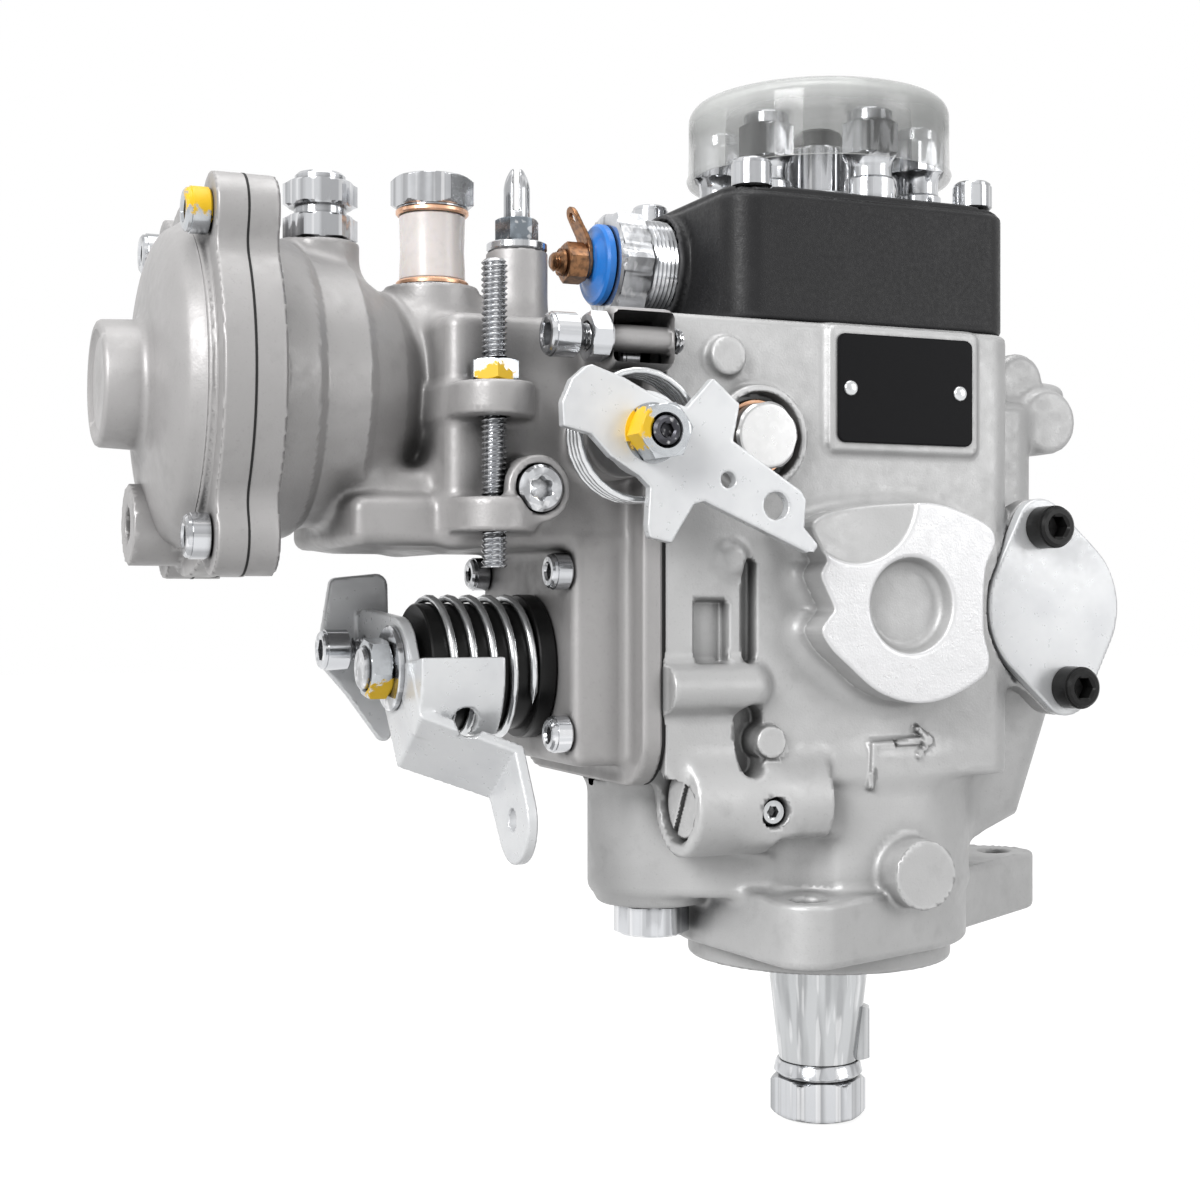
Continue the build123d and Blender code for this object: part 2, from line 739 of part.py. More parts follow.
# ---- pump housing -----------------------------------------------------------------------
with BuildPart() as pump_housing:
    # flange plate with three ears, and the drive end above it
    flange = [(0, 0, FLANGE_R)]
    flange += [(x, y, EAR_R) for x, y in (FRONT_EAR, REAR_EAR)]
    flange += [(SIDE_EAR[0], SIDE_EAR[1], SIDE_EAR_R)]
    web(Plane.XY, flange, FLANGE_T)
    rod(facing(0, 0, -PILOT_H, UP), PILOT_R, PILOT_H)
    drive_end = [(0, 0, DRIVE_END_R), (GOVERNOR_X, 0, BULGE_R)]
    web(Plane.XY.offset(FLANGE_T), drive_end, BODY_FLOOR_Z + 1 - FLANGE_T)
    rod(facing(GOVERNOR_X, 0, BULGE_Z, UP), BULGE_R - 2, BODY_FLOOR_Z - BULGE_Z)
    # body round the cam and governor chambers
    with BuildSketch(Plane.XY.offset(BODY_FLOOR_Z)) as body:
        with Locations((HOUSING_FACE_X, 0)):
            Rectangle(BODY_RIGHT_X - HOUSING_FACE_X, 2 * BODY_HALF_Y, align=(Align.MIN, Align.CENTER))
        fillet(body.vertices().sort_by(Axis.X)[-2:], BODY_CORNER_R)
    extrude(body.sketch, amount=HEAD_SEAT_Z - BODY_FLOOR_Z)
    # side block and cross cylinder of the timing device, and the support lug
    for right_x, top_z in ((SIDE_BLOCK_X, SIDE_WAIST_Z), (SIDE_WAIST_X, SIDE_BLOCK_TOP_Z)):
        pillar(
            (0, -SIDE_BLOCK_HALF_Y, SIDE_BLOCK_Z),
            (right_x, SIDE_BLOCK_HALF_Y, top_z),
            SIDE_CORNER_R,
        )
    rod(facing(TIMING_X, -TIMING_FACE_Y, TIMING_Z, BACK), TIMING_R, 2 * TIMING_FACE_Y)
    for ear_y in (TIMING_FACE_Y - TIMING_EAR_T, -TIMING_FACE_Y):
        web(XZ_FRONT.offset(ear_y), TIMING_OUTLINE, TIMING_EAR_T)
    support_lug = [(0, 0, LUG_R), (LUG_X, 0, LUG_R)]
    web(Plane.XY.offset(LUG_TOP_Z - LUG_T), support_lug, LUG_T)
    # bosses on the lever side
    rod(facing(BOSS_X, ROOT - BODY_HALF_Y, BOSS_Z, FRONT), BOSS_R, BOSS_FACE_Y - BODY_HALF_Y + ROOT)
    rod(facing(ARCH_X, 0, ARCH_Z, FRONT), ARCH_R, ARCH_REACH)
    block(
        (PLATE_PAD_X - PLATE_PAD_W / 2, -BODY_HALF_Y - PLATE_PAD_T, PLATE_PAD_Z - PLATE_PAD_H / 2),
        (PLATE_PAD_X + PLATE_PAD_W / 2, LAP - BODY_HALF_Y, PLATE_PAD_Z + PLATE_PAD_H / 2),
    )
    rod(facing(INLET_X, ROOT - BODY_HALF_Y, INLET_Z, FRONT), INLET_BOSS_R, ROOT + INLET_BOSS_T)
    rod(facing(PIVOT_PAD_X, LAP - BODY_HALF_Y, PIVOT_PAD_Z, FRONT), PIVOT_PAD_R, PIVOT_PAD_T + LAP)
    rod(facing(KNOB_X, ROOT - DRIVE_END_R, KNOB_Z, FRONT), GALLERY_R, ROOT + KNOB_T)
    rod(facing(SIDE_SCREW_X, ROOT - SIDE_SCREW_Y, SIDE_SCREW_Z, FRONT), SIDE_SCREW_BOSS_R, ROOT)
    rod(facing(GALLERY_LEFT_X, GALLERY_Y, GALLERY_Z, RIGHT), GALLERY_R, GALLERY_RIGHT_X - GALLERY_LEFT_X)
    with Locations((GALLERY_RIGHT_X, GALLERY_Y, GALLERY_Z)):
        Sphere(GALLERY_R)
    rod(facing(VALVE_FACE_X, VALVE_Y, VALVE_Z, RIGHT), VALVE_BOSS_R, VALVE_BOSS_L)
    # seats for the timing covers, and the big boss's blind pocket and notch
    seat_outline = [(x, z, radius + GAP) for x, z, radius in TIMING_OUTLINE]
    for seat_y in (TIMING_FACE_Y, -TIMING_FACE_Y - DEEP):
        web(XZ_FRONT.offset(seat_y), seat_outline, DEEP, mode=Mode.SUBTRACT)
    rod(
        facing(BOSS_X, -BOSS_FACE_Y, BOSS_Z, BACK),
        BOSS_POCKET_R,
        BOSS_POCKET_DEPTH,
        mode=Mode.SUBTRACT,
    )
    rod(
        facing(BOSS_X - BOSS_R, -BODY_HALF_Y - LAP, BOSS_Z, FRONT),
        BOSS_NOTCH_R,
        DEEP,
        mode=Mode.SUBTRACT,
    )
    # cast pocket and groove in the lever side
    for left_x, low_z, end_x, high_z in (POCKET, GROOVE):
        block(
            (left_x, -BODY_HALF_Y - LAP, low_z),
            (end_x, -BODY_HALF_Y + POCKET_DEPTH, high_z),
            mode=Mode.SUBTRACT,
        )
    # drive bores: seal, bush, feed pump, its cover plate, cam chamber
    rod(facing(0, 0, -PILOT_H, UP), SEAL_R, SEAL_H, mode=Mode.SUBTRACT)
    rod(facing(0, 0, -PILOT_H, UP), BUSH_R, PILOT_H + PUMP_FLOOR_Z + LAP, mode=Mode.SUBTRACT)
    rod(facing(0, 0, PUMP_FLOOR_Z, UP), PUMP_RING_R, DEEP, mode=Mode.SUBTRACT)
    rod(facing(0, 0, CAM_FLOOR_Z, UP), CAM_CHAMBER_R, DEEP, mode=Mode.SUBTRACT)
    # governor chamber and its two windows into the cam chamber
    block(
        (HOUSING_FACE_X - 1, -CHAMBER_HALF_Y, CAM_FLOOR_Z + 2),
        (CHAMBER_WALL_X, CHAMBER_HALF_Y, CHAMBER_TOP_Z),
        mode=Mode.SUBTRACT,
    )
    block(
        (CHAMBER_WALL_X - 1, -LEVER_WINDOW_HALF_Y, LEVER_WINDOW_Z),
        (0, LEVER_WINDOW_HALF_Y, CHAMBER_TOP_Z),
        mode=Mode.SUBTRACT,
    )
    block(
        (CHAMBER_WALL_X - 1, -GEAR_WINDOW_HALF_Y, CAM_FLOOR_Z + 2),
        (0, GEAR_WINDOW_HALF_Y, GEAR_WINDOW_Z),
        mode=Mode.SUBTRACT,
    )
    rod(facing(GOVERNOR_X, 0, BULGE_Z, UP), GOVERNOR_THREAD_R, DEEP, mode=Mode.SUBTRACT)
    # pins that carry the governor lever
    for side in (-1, 1):
        rod(
            facing(LEVER_PIVOT_X, side * BODY_HALF_Y, LEVER_PIVOT_Z, (0, -side, 0)),
            LEVER_PIN_R,
            BODY_HALF_Y - LEVER_W / 2 - GAP,
        )
    # timing bore, with a slot that lets the ring's pin through
    rod(
        facing(TIMING_X, -TIMING_FACE_Y, TIMING_Z, BACK),
        TIMING_BORE_R,
        2 * TIMING_FACE_Y,
        mode=Mode.SUBTRACT,
    )
    slot_half_z = TIMING_PIN_R + TIMING_SLOT_ROOM
    block(
        (CAM_CHAMBER_R - TIMING_SLOT_LAP, -TIMING_SLOT_HALF_Y, TIMING_Z - slot_half_z),
        (TIMING_X, TIMING_SLOT_HALF_Y + TIMING_STROKE, TIMING_Z + slot_half_z),
        mode=Mode.SUBTRACT,
    )
    for x, z in (TIMING_TOP, TIMING_LOW):
        for side, inwards in ((-1, BACK), (1, FRONT)):
            face = facing(x, side * TIMING_FACE_Y, z, inwards)
            rod(face, TIMING_SCREW_R, TIMING_SCREW_BITE + LAP, mode=Mode.SUBTRACT)
    block(
        (-DEEP, -DEEP, COVER_FLANGE_Z - GAP),
        (HOUSING_FACE_X, DEEP, DEEP),
        mode=Mode.SUBTRACT,
    )
    # plugs and screws
    rod(
        facing(INLET_X, -BODY_HALF_Y - INLET_BOSS_T, INLET_Z, BACK),
        INLET_THREAD_R,
        INLET_DEPTH,
        mode=Mode.SUBTRACT,
    )
    rod(
        facing(VALVE_FACE_X, VALVE_Y, VALVE_Z, RIGHT),
        VALVE_BORE_R,
        VALVE_BORE_DEPTH,
        mode=Mode.SUBTRACT,
    )
    for y, z, seat in COVER_SCREW_PLACES:
        cover_bore = facing(HOUSING_FACE_X, y, z, RIGHT)
        rod(cover_bore, COVER_SCREW_R, COVER_SCREW_BITE + LAP, mode=Mode.SUBTRACT)
    for y in (-HEAD_SCREW_Y, HEAD_SCREW_Y):
        for x in (HEAD_SCREW_LEFT_X, HEAD_SCREW_X):
            rod(facing(x, y, HEAD_SEAT_Z, DOWN), HEAD_SCREW_R, HEAD_SCREW_BITE, mode=Mode.SUBTRACT)
    # stud holes, each with room for its nut
    for x, y in EAR_CENTRES:
        rod(facing(x, y, 0, UP), STUD_HOLE_R, FLANGE_T, mode=Mode.SUBTRACT)
        rod(facing(x, y, FLANGE_T, UP), NUT_SCOOP_R, NUT_SCOOP_H, mode=Mode.SUBTRACT)
    rod(facing(LUG_X, 0, LUG_TOP_Z, DOWN), LUG_HOLE_R, LUG_T, mode=Mode.SUBTRACT)
keep(pump_housing, "pump_housing")

# ---- drive shaft and what turns with it ---------------------------------------------------
with BuildPart() as shaft_key:
    key_plane = Plane.XY.rotated((0, 0, KEY_ANGLE))
    key_origin = (
        CONE_BOTTOM_R * cos(radians(KEY_ANGLE)),
        CONE_BOTTOM_R * sin(radians(KEY_ANGLE)),
        KEY_Z,
    )
    with BuildSketch(Plane(origin=key_origin, x_dir=key_plane.x_dir, z_dir=key_plane.y_dir)):
        Circle(KEY_R)
        with Locations((KEY_PROUD + KEY_EDGE, 0)):
            Rectangle(DEEP, DEEP, align=(Align.MIN, Align.CENTER), mode=Mode.SUBTRACT)
    extrude(amount=KEY_W / 2, both=True)
keep(shaft_key, "shaft_key")

with BuildPart() as drive_shaft:
    rod(facing(0, 0, SHAFT_END_Z, UP), SHAFT_THREAD_R, CONE_BOTTOM_Z - SHAFT_END_Z)
    cone(facing(0, 0, CONE_BOTTOM_Z, UP), CONE_BOTTOM_R, JOURNAL_R, CONE_TOP_Z - CONE_BOTTOM_Z)
    claw_foot_z = CLAW_Z - CLAW_PLATE_T
    rod(facing(0, 0, CONE_TOP_Z, UP), JOURNAL_R, claw_foot_z - CONE_TOP_Z)
    rod(facing(0, 0, claw_foot_z, UP), CLAW_OUT_R, CLAW_PLATE_T)
    for side in (-1, 1):
        block(
            (min(side * CLAW_IN_R, side * CLAW_OUT_R), -CLAW_W / 2, CLAW_Z),
            (max(side * CLAW_IN_R, side * CLAW_OUT_R), CLAW_W / 2, CLAW_Z + CLAW_H),
        )
    add(shaft_key.part, mode=Mode.SUBTRACT)
keep(drive_shaft, "drive_shaft")

with BuildPart() as shaft_nut:
    # nut with a turned face, and its spring washer
    nut_top_z = SHAFT_NUT_END_Z + SHAFT_NUT_H
    hex_bar(facing(0, 0, SHAFT_NUT_END_Z, UP), SHAFT_NUT_AF, SHAFT_NUT_H)
    cone(
        facing(0, 0, SHAFT_NUT_END_Z, UP),
        SHAFT_NUT_AF / 2,
        SHAFT_NUT_AF / 2 + 2 * SHAFT_NUT_H,
        2 * SHAFT_NUT_H,
        mode=Mode.INTERSECT,
    )
    rod(facing(0, 0, nut_top_z, UP), SPRING_WASHER_R, CONE_BOTTOM_Z - nut_top_z)
    rod(facing(0, 0, SHAFT_NUT_END_Z, UP), SHAFT_THREAD_R, DEEP, mode=Mode.SUBTRACT)
keep(shaft_nut, "shaft_nut")

with BuildPart() as shaft_seal:
    rod(facing(0, 0, -PILOT_H, UP), SEAL_R, SEAL_H)
    rod(facing(0, 0, -PILOT_H, UP), JOURNAL_R + RUN, DEEP, mode=Mode.SUBTRACT)
    rod(facing(0, 0, -PILOT_H, UP), SEAL_R - SEAL_RIM, SEAL_DISH, mode=Mode.SUBTRACT)
keep(shaft_seal, "shaft_seal")

with BuildPart() as shaft_bush:
    rod(facing(0, 0, SEAL_H - PILOT_H, UP), BUSH_R, BUSH_TOP_Z - SEAL_H + PILOT_H)
    rod(facing(0, 0, 0, UP), JOURNAL_R + RUN, DEEP, mode=Mode.SUBTRACT)
keep(shaft_bush, "shaft_bush")

# ---- vane feed pump --------------------------------------------------------------------------
with BuildPart() as feed_pump_ring:
    # eccentric ring and the cover plate over it, as separate solids
    rod(facing(0, 0, PUMP_FLOOR_Z, UP), PUMP_RING_R, PUMP_RING_H)
    rod(facing(PUMP_ECCENTRIC, 0, PUMP_FLOOR_Z, UP), PUMP_BORE_R, DEEP, mode=Mode.SUBTRACT)
    rod(facing(0, 0, PUMP_COVER_Z + RUN, UP), PUMP_RING_R, PUMP_COVER_T)
    rod(facing(0, 0, PUMP_COVER_Z, UP), JOURNAL_R + GAP, DEEP, mode=Mode.SUBTRACT)
keep(feed_pump_ring, "feed_pump_ring")

with BuildPart() as vane_rotor:
    # rotor and its vanes, as separate solids that touch
    rod(facing(0, 0, PUMP_FLOOR_Z + RUN, UP), PUMP_ROTOR_R, PUMP_RING_H - 2 * RUN)
    rod(facing(0, 0, PUMP_FLOOR_Z, UP), JOURNAL_R, DEEP, mode=Mode.SUBTRACT)
    vane_out_r = PUMP_BORE_R - PUMP_ECCENTRIC - RUN
    with PolarLocations(PUMP_ROTOR_R, VANE_COUNT):
        Box(2 * VANE_DEPTH, VANE_T, DEEP, mode=Mode.SUBTRACT)
    with BuildSketch(Plane.XY.offset(PUMP_FLOOR_Z + RUN)) as vanes:
        with PolarLocations(vane_out_r - VANE_DEPTH / 2, VANE_COUNT):
            Rectangle(VANE_DEPTH, VANE_T - 2 * RUN)
    extrude(vanes.sketch, amount=PUMP_RING_H - 2 * RUN)
keep(vane_rotor, "vane_rotor")

with BuildPart() as drive_gear:
    gear(DRIVE_TEETH, Plane.XY.offset(GEAR_Z), GEAR_W)
    rod(facing(0, 0, GEAR_Z, UP), JOURNAL_R, DEEP, mode=Mode.SUBTRACT)
keep(drive_gear, "drive_gear")

# ---- cross coupling, roller ring, cam plate and plunger ---------------------------------------
with BuildPart() as cross_disc:
    rod(facing(0, 0, CLAW_Z + GAP / 2, UP), CLAW_OUT_R - 1, CLAW_H - GAP)
    with PolarLocations(CLAW_OUT_R, CLAW_COUNT):
        Box(2 * (CLAW_OUT_R - CLAW_IN_R + GAP), CLAW_W + 2 * RUN, DEEP, mode=Mode.SUBTRACT)
keep(cross_disc, "cross_disc")

with BuildPart() as roller_ring:
    rod(facing(0, 0, RING_Z, UP), CAM_CHAMBER_R - RUN, RING_H)
    rod(facing(0, 0, RING_Z, UP), RING_BORE_R, DEEP, mode=Mode.SUBTRACT)
    with BuildSketch(Plane.XY.offset(ROLLER_Z - ROLLER_R - GAP)) as slots:
        with PolarLocations(ROLLER_MID_R, ROLLER_COUNT, start_angle=ROLLER_START):
            Rectangle(ROLLER_W + 2 * GAP, 2 * (ROLLER_R + GAP))
    extrude(slots.sketch, amount=DEEP, mode=Mode.SUBTRACT)
    with PolarLocations(ROLLER_MID_R - ROLLER_W, ROLLER_COUNT, start_angle=ROLLER_START):
        with Locations(Plane(origin=(0, 0, ROLLER_Z), z_dir=RIGHT)):
            Cylinder(ROLLER_PIN_R, 2 * ROLLER_W - ROLLER_PIN_SHORT, align=BASE)
    with Locations((0, 0, RING_Z)):
        Cylinder(RING_BORE_R, RING_H, align=BASE, mode=Mode.SUBTRACT)
    rod(
        facing(CAM_CHAMBER_R - TIMING_SLOT_LAP, 0, TIMING_Z, RIGHT),
        TIMING_PIN_R,
        TIMING_X - CAM_CHAMBER_R + TIMING_SLOT_LAP,
    )
    rod(
        facing(TIMING_X, 0, TIMING_Z - TIMING_PIN_R - PIN_BLOCK_END, UP),
        PIN_BLOCK_R,
        2 * (TIMING_PIN_R + PIN_BLOCK_END),
    )
keep(roller_ring, "roller_ring")

with BuildPart() as ring_rollers:
    with PolarLocations(ROLLER_MID_R - ROLLER_W / 2, ROLLER_COUNT, start_angle=ROLLER_START):
        with Locations(Plane(origin=(0, 0, ROLLER_Z), z_dir=RIGHT)):
            Cylinder(ROLLER_R, ROLLER_W, align=BASE)
            Cylinder(ROLLER_PIN_R + RUN, ROLLER_W, align=BASE, mode=Mode.SUBTRACT)
keep(ring_rollers, "ring_rollers")

with BuildPart() as cam_plate:
    rod(facing(0, 0, CAM_BASE_Z, UP), CAM_PLATE_R, CAM_PLATE_T)
    lobe_z = ROLLER_Z + ROLLER_R + RUN + LOBE_R
    with PolarLocations(RING_BORE_R + 1, LOBE_COUNT):
        with Locations(Plane(origin=(0, 0, lobe_z), z_dir=RIGHT)):
            Cylinder(LOBE_R, CAM_PLATE_R - RING_BORE_R - 1, align=BASE)
    block((-DEEP, -DEEP, CAM_BASE_Z + CAM_PLATE_T), (DEEP, DEEP, DEEP), mode=Mode.SUBTRACT)
    for side in (-1, 1):
        block(
            (-CLAW_W / 2, min(side * CLAW_IN_R, side * CLAW_OUT_R), CLAW_Z + GAP / 2),
            (CLAW_W / 2, max(side * CLAW_IN_R, side * CLAW_OUT_R), CAM_BASE_Z),
        )
keep(cam_plate, "cam_plate")

with BuildPart() as plunger:
    plunger_z = CAM_BASE_Z + CAM_PLATE_T
    rod(facing(0, 0, plunger_z, UP), PLUNGER_FOOT_R, PLUNGER_FOOT_H)
    rod(facing(0, 0, plunger_z, UP), PLUNGER_R, PLUNGER_TOP_Z - plunger_z)
keep(plunger, "plunger")

with BuildPart() as plunger_springs:
    bridge_z = CAM_BASE_Z + CAM_PLATE_T + GAP
    with BuildSketch(Plane.XY.offset(bridge_z)):
        SlotOverall(2 * BRIDGE_HALF_Y, BRIDGE_W, rotation=90)
        Circle(PLUNGER_FOOT_R + BRIDGE_RING_W)
        Circle(PLUNGER_FOOT_R + GAP, mode=Mode.SUBTRACT)
    extrude(amount=BRIDGE_T)
    spring_h = HEAD_SEAT_Z - SPIGOT_H - bridge_z - BRIDGE_T
    for side in (-1, 1):
        bridge_top = facing(0, side * PLUNGER_SPRING_Y, bridge_z + BRIDGE_T, UP)
        rod(bridge_top, PLUNGER_SPRING_R, spring_h)
        rod(bridge_top, PLUNGER_SPRING_R - PLUNGER_SPRING_WIRE, spring_h, mode=Mode.SUBTRACT)
keep(plunger_springs, "plunger_springs")

with BuildPart() as control_collar:
    rod(facing(0, 0, COLLAR_Z, UP), COLLAR_R, COLLAR_H)
    groove_half = BALL_R + RUN
    with BuildSketch(Plane.XY.offset(LEVER_PIVOT_Z - groove_half)) as groove:
        Circle(COLLAR_R + 1)
        Circle(COLLAR_R - COLLAR_GROOVE_DEPTH, mode=Mode.SUBTRACT)
    extrude(groove.sketch, amount=2 * groove_half, mode=Mode.SUBTRACT)
    rod(facing(0, 0, COLLAR_Z, UP), PLUNGER_R + RUN, DEEP, mode=Mode.SUBTRACT)
keep(control_collar, "control_collar")

# ---- distributor head ----------------------------------------------------------------------
with BuildPart() as distributor_head:
    pillar(
        (HEAD_LEFT_X, -HEAD_HALF_Y, HEAD_SEAT_Z),
        (HEAD_RIGHT_X, HEAD_HALF_Y, HEAD_TOP_Z),
        HEAD_CORNER_R,
    )
    chamfer(faces().sort_by(Axis.Z)[-1].edges(), HEAD_EDGE_R)
    rod(facing(0, 0, HEAD_SEAT_Z, DOWN), CAM_CHAMBER_R, SPIGOT_H)
    rod(facing(0, 0, HEAD_SEAT_Z, DOWN), SLEEVE_SPIGOT_R, HEAD_SEAT_Z - SLEEVE_SPIGOT_Z)
    rod(facing(0, 0, SLEEVE_SPIGOT_Z, UP), PLUNGER_R + RUN, DEEP, mode=Mode.SUBTRACT)
    rod(facing(0, 0, HEAD_TOP_Z, DOWN), HEAD_PLUG_R, HEAD_PLUG_DEPTH, mode=Mode.SUBTRACT)
    with PolarLocations(OUTLET_PCR, OUTLET_COUNT, start_angle=OUTLET_START):
        with Locations(facing(0, 0, HEAD_TOP_Z, DOWN)):
            Cylinder(OUTLET_R, OUTLET_DEPTH, align=BASE, mode=Mode.SUBTRACT)
    rod(facing(HEAD_LEFT_X, 0, SHUTOFF_Z, RIGHT), SHUTOFF_R, SHUTOFF_DEPTH, mode=Mode.SUBTRACT)
    shutoff_bore_x = HEAD_LEFT_X + SHUTOFF_DEPTH
    shutoff_bore = facing(shutoff_bore_x, 0, SHUTOFF_Z, RIGHT)
    rod(shutoff_bore, SHUTOFF_PLUNGER_R + RUN, SHUTOFF_ROOM, mode=Mode.SUBTRACT)
    for y in (-HEAD_SCREW_Y, HEAD_SCREW_Y):
        for x in (HEAD_SCREW_LEFT_X, HEAD_SCREW_X):
            rod(facing(x, y, HEAD_SEAT_Z, UP), HEAD_SCREW_R, DEEP, mode=Mode.SUBTRACT)
keep(distributor_head, "distributor_head")

with BuildPart() as head_screws:
    for y in (-HEAD_SCREW_Y, HEAD_SCREW_Y):
        for x in (HEAD_SCREW_LEFT_X, HEAD_SCREW_X):
            rod(facing(x, y, HEAD_SEAT_Z - HEAD_SCREW_BITE, UP), HEAD_SCREW_R, HEAD_H + HEAD_SCREW_BITE)
            rod(facing(x, y, HEAD_TOP_Z, UP), HEAD_SCREW_HEAD_R, HEAD_SCREW_HEAD_H)
            key = facing(x, y, HEAD_TOP_Z + HEAD_SCREW_HEAD_H - HEAD_KEY_DEPTH, UP)
            hex_bar(key, HEAD_KEY_AF, HEAD_KEY_DEPTH, mode=Mode.SUBTRACT)
keep(head_screws, "head_screws")

with BuildPart() as delivery_valve_holders:
    with PolarLocations(OUTLET_PCR, OUTLET_COUNT, start_angle=OUTLET_START):
        with Locations((0, 0, HEAD_TOP_Z - OUTLET_DEPTH)):
            Cylinder(OUTLET_R, OUTLET_TOP_Z - HEAD_TOP_Z + OUTLET_DEPTH, align=BASE)
    with BuildSketch(Plane.XY.offset(OUTLET_HEX_Z)) as hexes:
        with PolarLocations(OUTLET_PCR, OUTLET_COUNT, start_angle=OUTLET_START):
            RegularPolygon(OUTLET_HEX_AF / 2, HEX_SIDES, major_radius=False)
    extrude(hexes.sketch, amount=OUTLET_HEX_H)
    with PolarLocations(OUTLET_PCR, OUTLET_COUNT, start_angle=OUTLET_START):
        with Locations((0, 0, HEAD_TOP_Z - OUTLET_DEPTH)):
            Cylinder(OUTLET_BORE_R, DEEP, align=BASE, mode=Mode.SUBTRACT)
        with Locations((0, 0, OUTLET_TOP_Z - OUTLET_CONE_H)):
            Cone(OUTLET_BORE_R, OUTLET_CONE_R, OUTLET_CONE_H, align=BASE, mode=Mode.SUBTRACT)
keep(delivery_valve_holders, "delivery_valve_holders")

with BuildPart() as head_plug:
    rod(facing(0, 0, HEAD_TOP_Z - HEAD_PLUG_DEPTH, UP), HEAD_PLUG_R, HEAD_PLUG_DEPTH)
    rod(facing(0, 0, HEAD_TOP_Z, UP), HEAD_PLUG_FLANGE_R, HEAD_PLUG_FLANGE_H)
    hex_bar(facing(0, 0, HEAD_TOP_Z, UP), HEAD_PLUG_HEX_AF, HEAD_PLUG_TOP_Z - HEAD_TOP_Z)
keep(head_plug, "head_plug")

with BuildPart() as bleed_cap:
    rod(facing(0, 0, HEAD_PLUG_TOP_Z, UP), BLEED_CAP_R, BLEED_CAP_H)
    chamfer(faces().sort_by(Axis.Z)[-1].edges(), BLEED_CAP_EDGE)
keep(bleed_cap, "bleed_cap")

with BuildPart() as outlet_cap:
    cap_in_r = OUTLET_PCR + OUTLET_HEX_AF / 3 ** 0.5 + RUN
    rod(facing(0, 0, CAP_Z, UP), cap_in_r + CAP_WALL, CAP_TOP_Z - CAP_Z)
    fillet(faces().sort_by(Axis.Z)[-1].edges(), CAP_ROUND)
    cap_in_h = CAP_TOP_Z - CAP_Z - CAP_WALL
    rod(facing(0, 0, CAP_Z, UP), cap_in_r, cap_in_h - CAP_ROUND + LAP, mode=Mode.SUBTRACT)
    rod(facing(0, 0, CAP_Z, UP), cap_in_r - CAP_ROUND / 2, cap_in_h, mode=Mode.SUBTRACT)
keep(outlet_cap, "outlet_cap")

# ---- electric shut-off ------------------------------------------------------------------------
with BuildPart() as shutoff_body:
    shutoff_end_x = HEAD_LEFT_X - SHUTOFF_NECK - SHUTOFF_HEX_L
    rod(facing(shutoff_bore_x, 0, SHUTOFF_Z, LEFT), SHUTOFF_R, SHUTOFF_DEPTH + SHUTOFF_NECK)
    hex_bar(facing(HEAD_LEFT_X - SHUTOFF_NECK, 0, SHUTOFF_Z, LEFT), SHUTOFF_HEX_AF, SHUTOFF_HEX_L)
    rod(
        facing(shutoff_bore_x, 0, SHUTOFF_Z, LEFT),
        SHUTOFF_PLUNGER_R + RUN,
        SHUTOFF_DEPTH,
        mode=Mode.SUBTRACT,
    )
keep(shutoff_body, "shutoff_body")

with BuildPart() as shutoff_plunger:
    rod(
        facing(shutoff_bore_x - SHUTOFF_PLUNGER_TAIL, 0, SHUTOFF_Z, RIGHT),
        SHUTOFF_PLUNGER_R,
        SHUTOFF_PLUNGER_L,
    )
keep(shutoff_plunger, "shutoff_plunger")

with BuildPart() as terminal_insulator:
    rod(facing(shutoff_end_x, 0, SHUTOFF_Z, LEFT), INSULATOR_R, INSULATOR_L)
    cone(
        facing(shutoff_end_x - INSULATOR_L, 0, SHUTOFF_Z, LEFT),
        INSULATOR_R - INSULATOR_STEP,
        INSULATOR_R - 2 * INSULATOR_STEP,
        INSULATOR_STEP,
    )
    rod(facing(shutoff_end_x, 0, SHUTOFF_Z, LEFT), TERMINAL_R, DEEP, mode=Mode.SUBTRACT)
keep(terminal_insulator, "terminal_insulator")

with BuildPart() as terminal_stud:
    terminal_x = shutoff_end_x - INSULATOR_L - INSULATOR_STEP
    terminal_l = INSULATOR_L + INSULATOR_STEP + TERMINAL_TAB_T + TERMINAL_NUT_L + TERMINAL_END_L
    rod(facing(shutoff_end_x, 0, SHUTOFF_Z, LEFT), TERMINAL_R, terminal_l)
    hex_bar(facing(terminal_x - TERMINAL_TAB_T, 0, SHUTOFF_Z, LEFT), TERMINAL_NUT_AF, TERMINAL_NUT_L)
    with BuildSketch(facing(terminal_x, 0, SHUTOFF_Z, LEFT)) as tab:
        SlotCenterToCenter(TERMINAL_TAB_L, TERMINAL_TAB_W, rotation=180)
    extrude(tab.sketch, amount=TERMINAL_TAB_T)
keep(terminal_stud, "terminal_stud")

# ---- governor shaft, flyweights and sleeve -----------------------------------------------------
with BuildPart() as governor_shaft:
    nut_z = BULGE_Z - GOVERNOR_NUT_H
    rod(facing(GOVERNOR_X, 0, nut_z, UP), GOVERNOR_THREAD_R, CAM_FLOOR_Z + 2 - nut_z)
    rod(facing(GOVERNOR_X, 0, nut_z, UP), GOVERNOR_SHAFT_R, GOVERNOR_SHAFT_TOP_Z - nut_z)
    hex_bar(facing(GOVERNOR_X, 0, nut_z, UP), GOVERNOR_NUT_AF, GOVERNOR_NUT_H)
keep(governor_shaft, "governor_shaft")

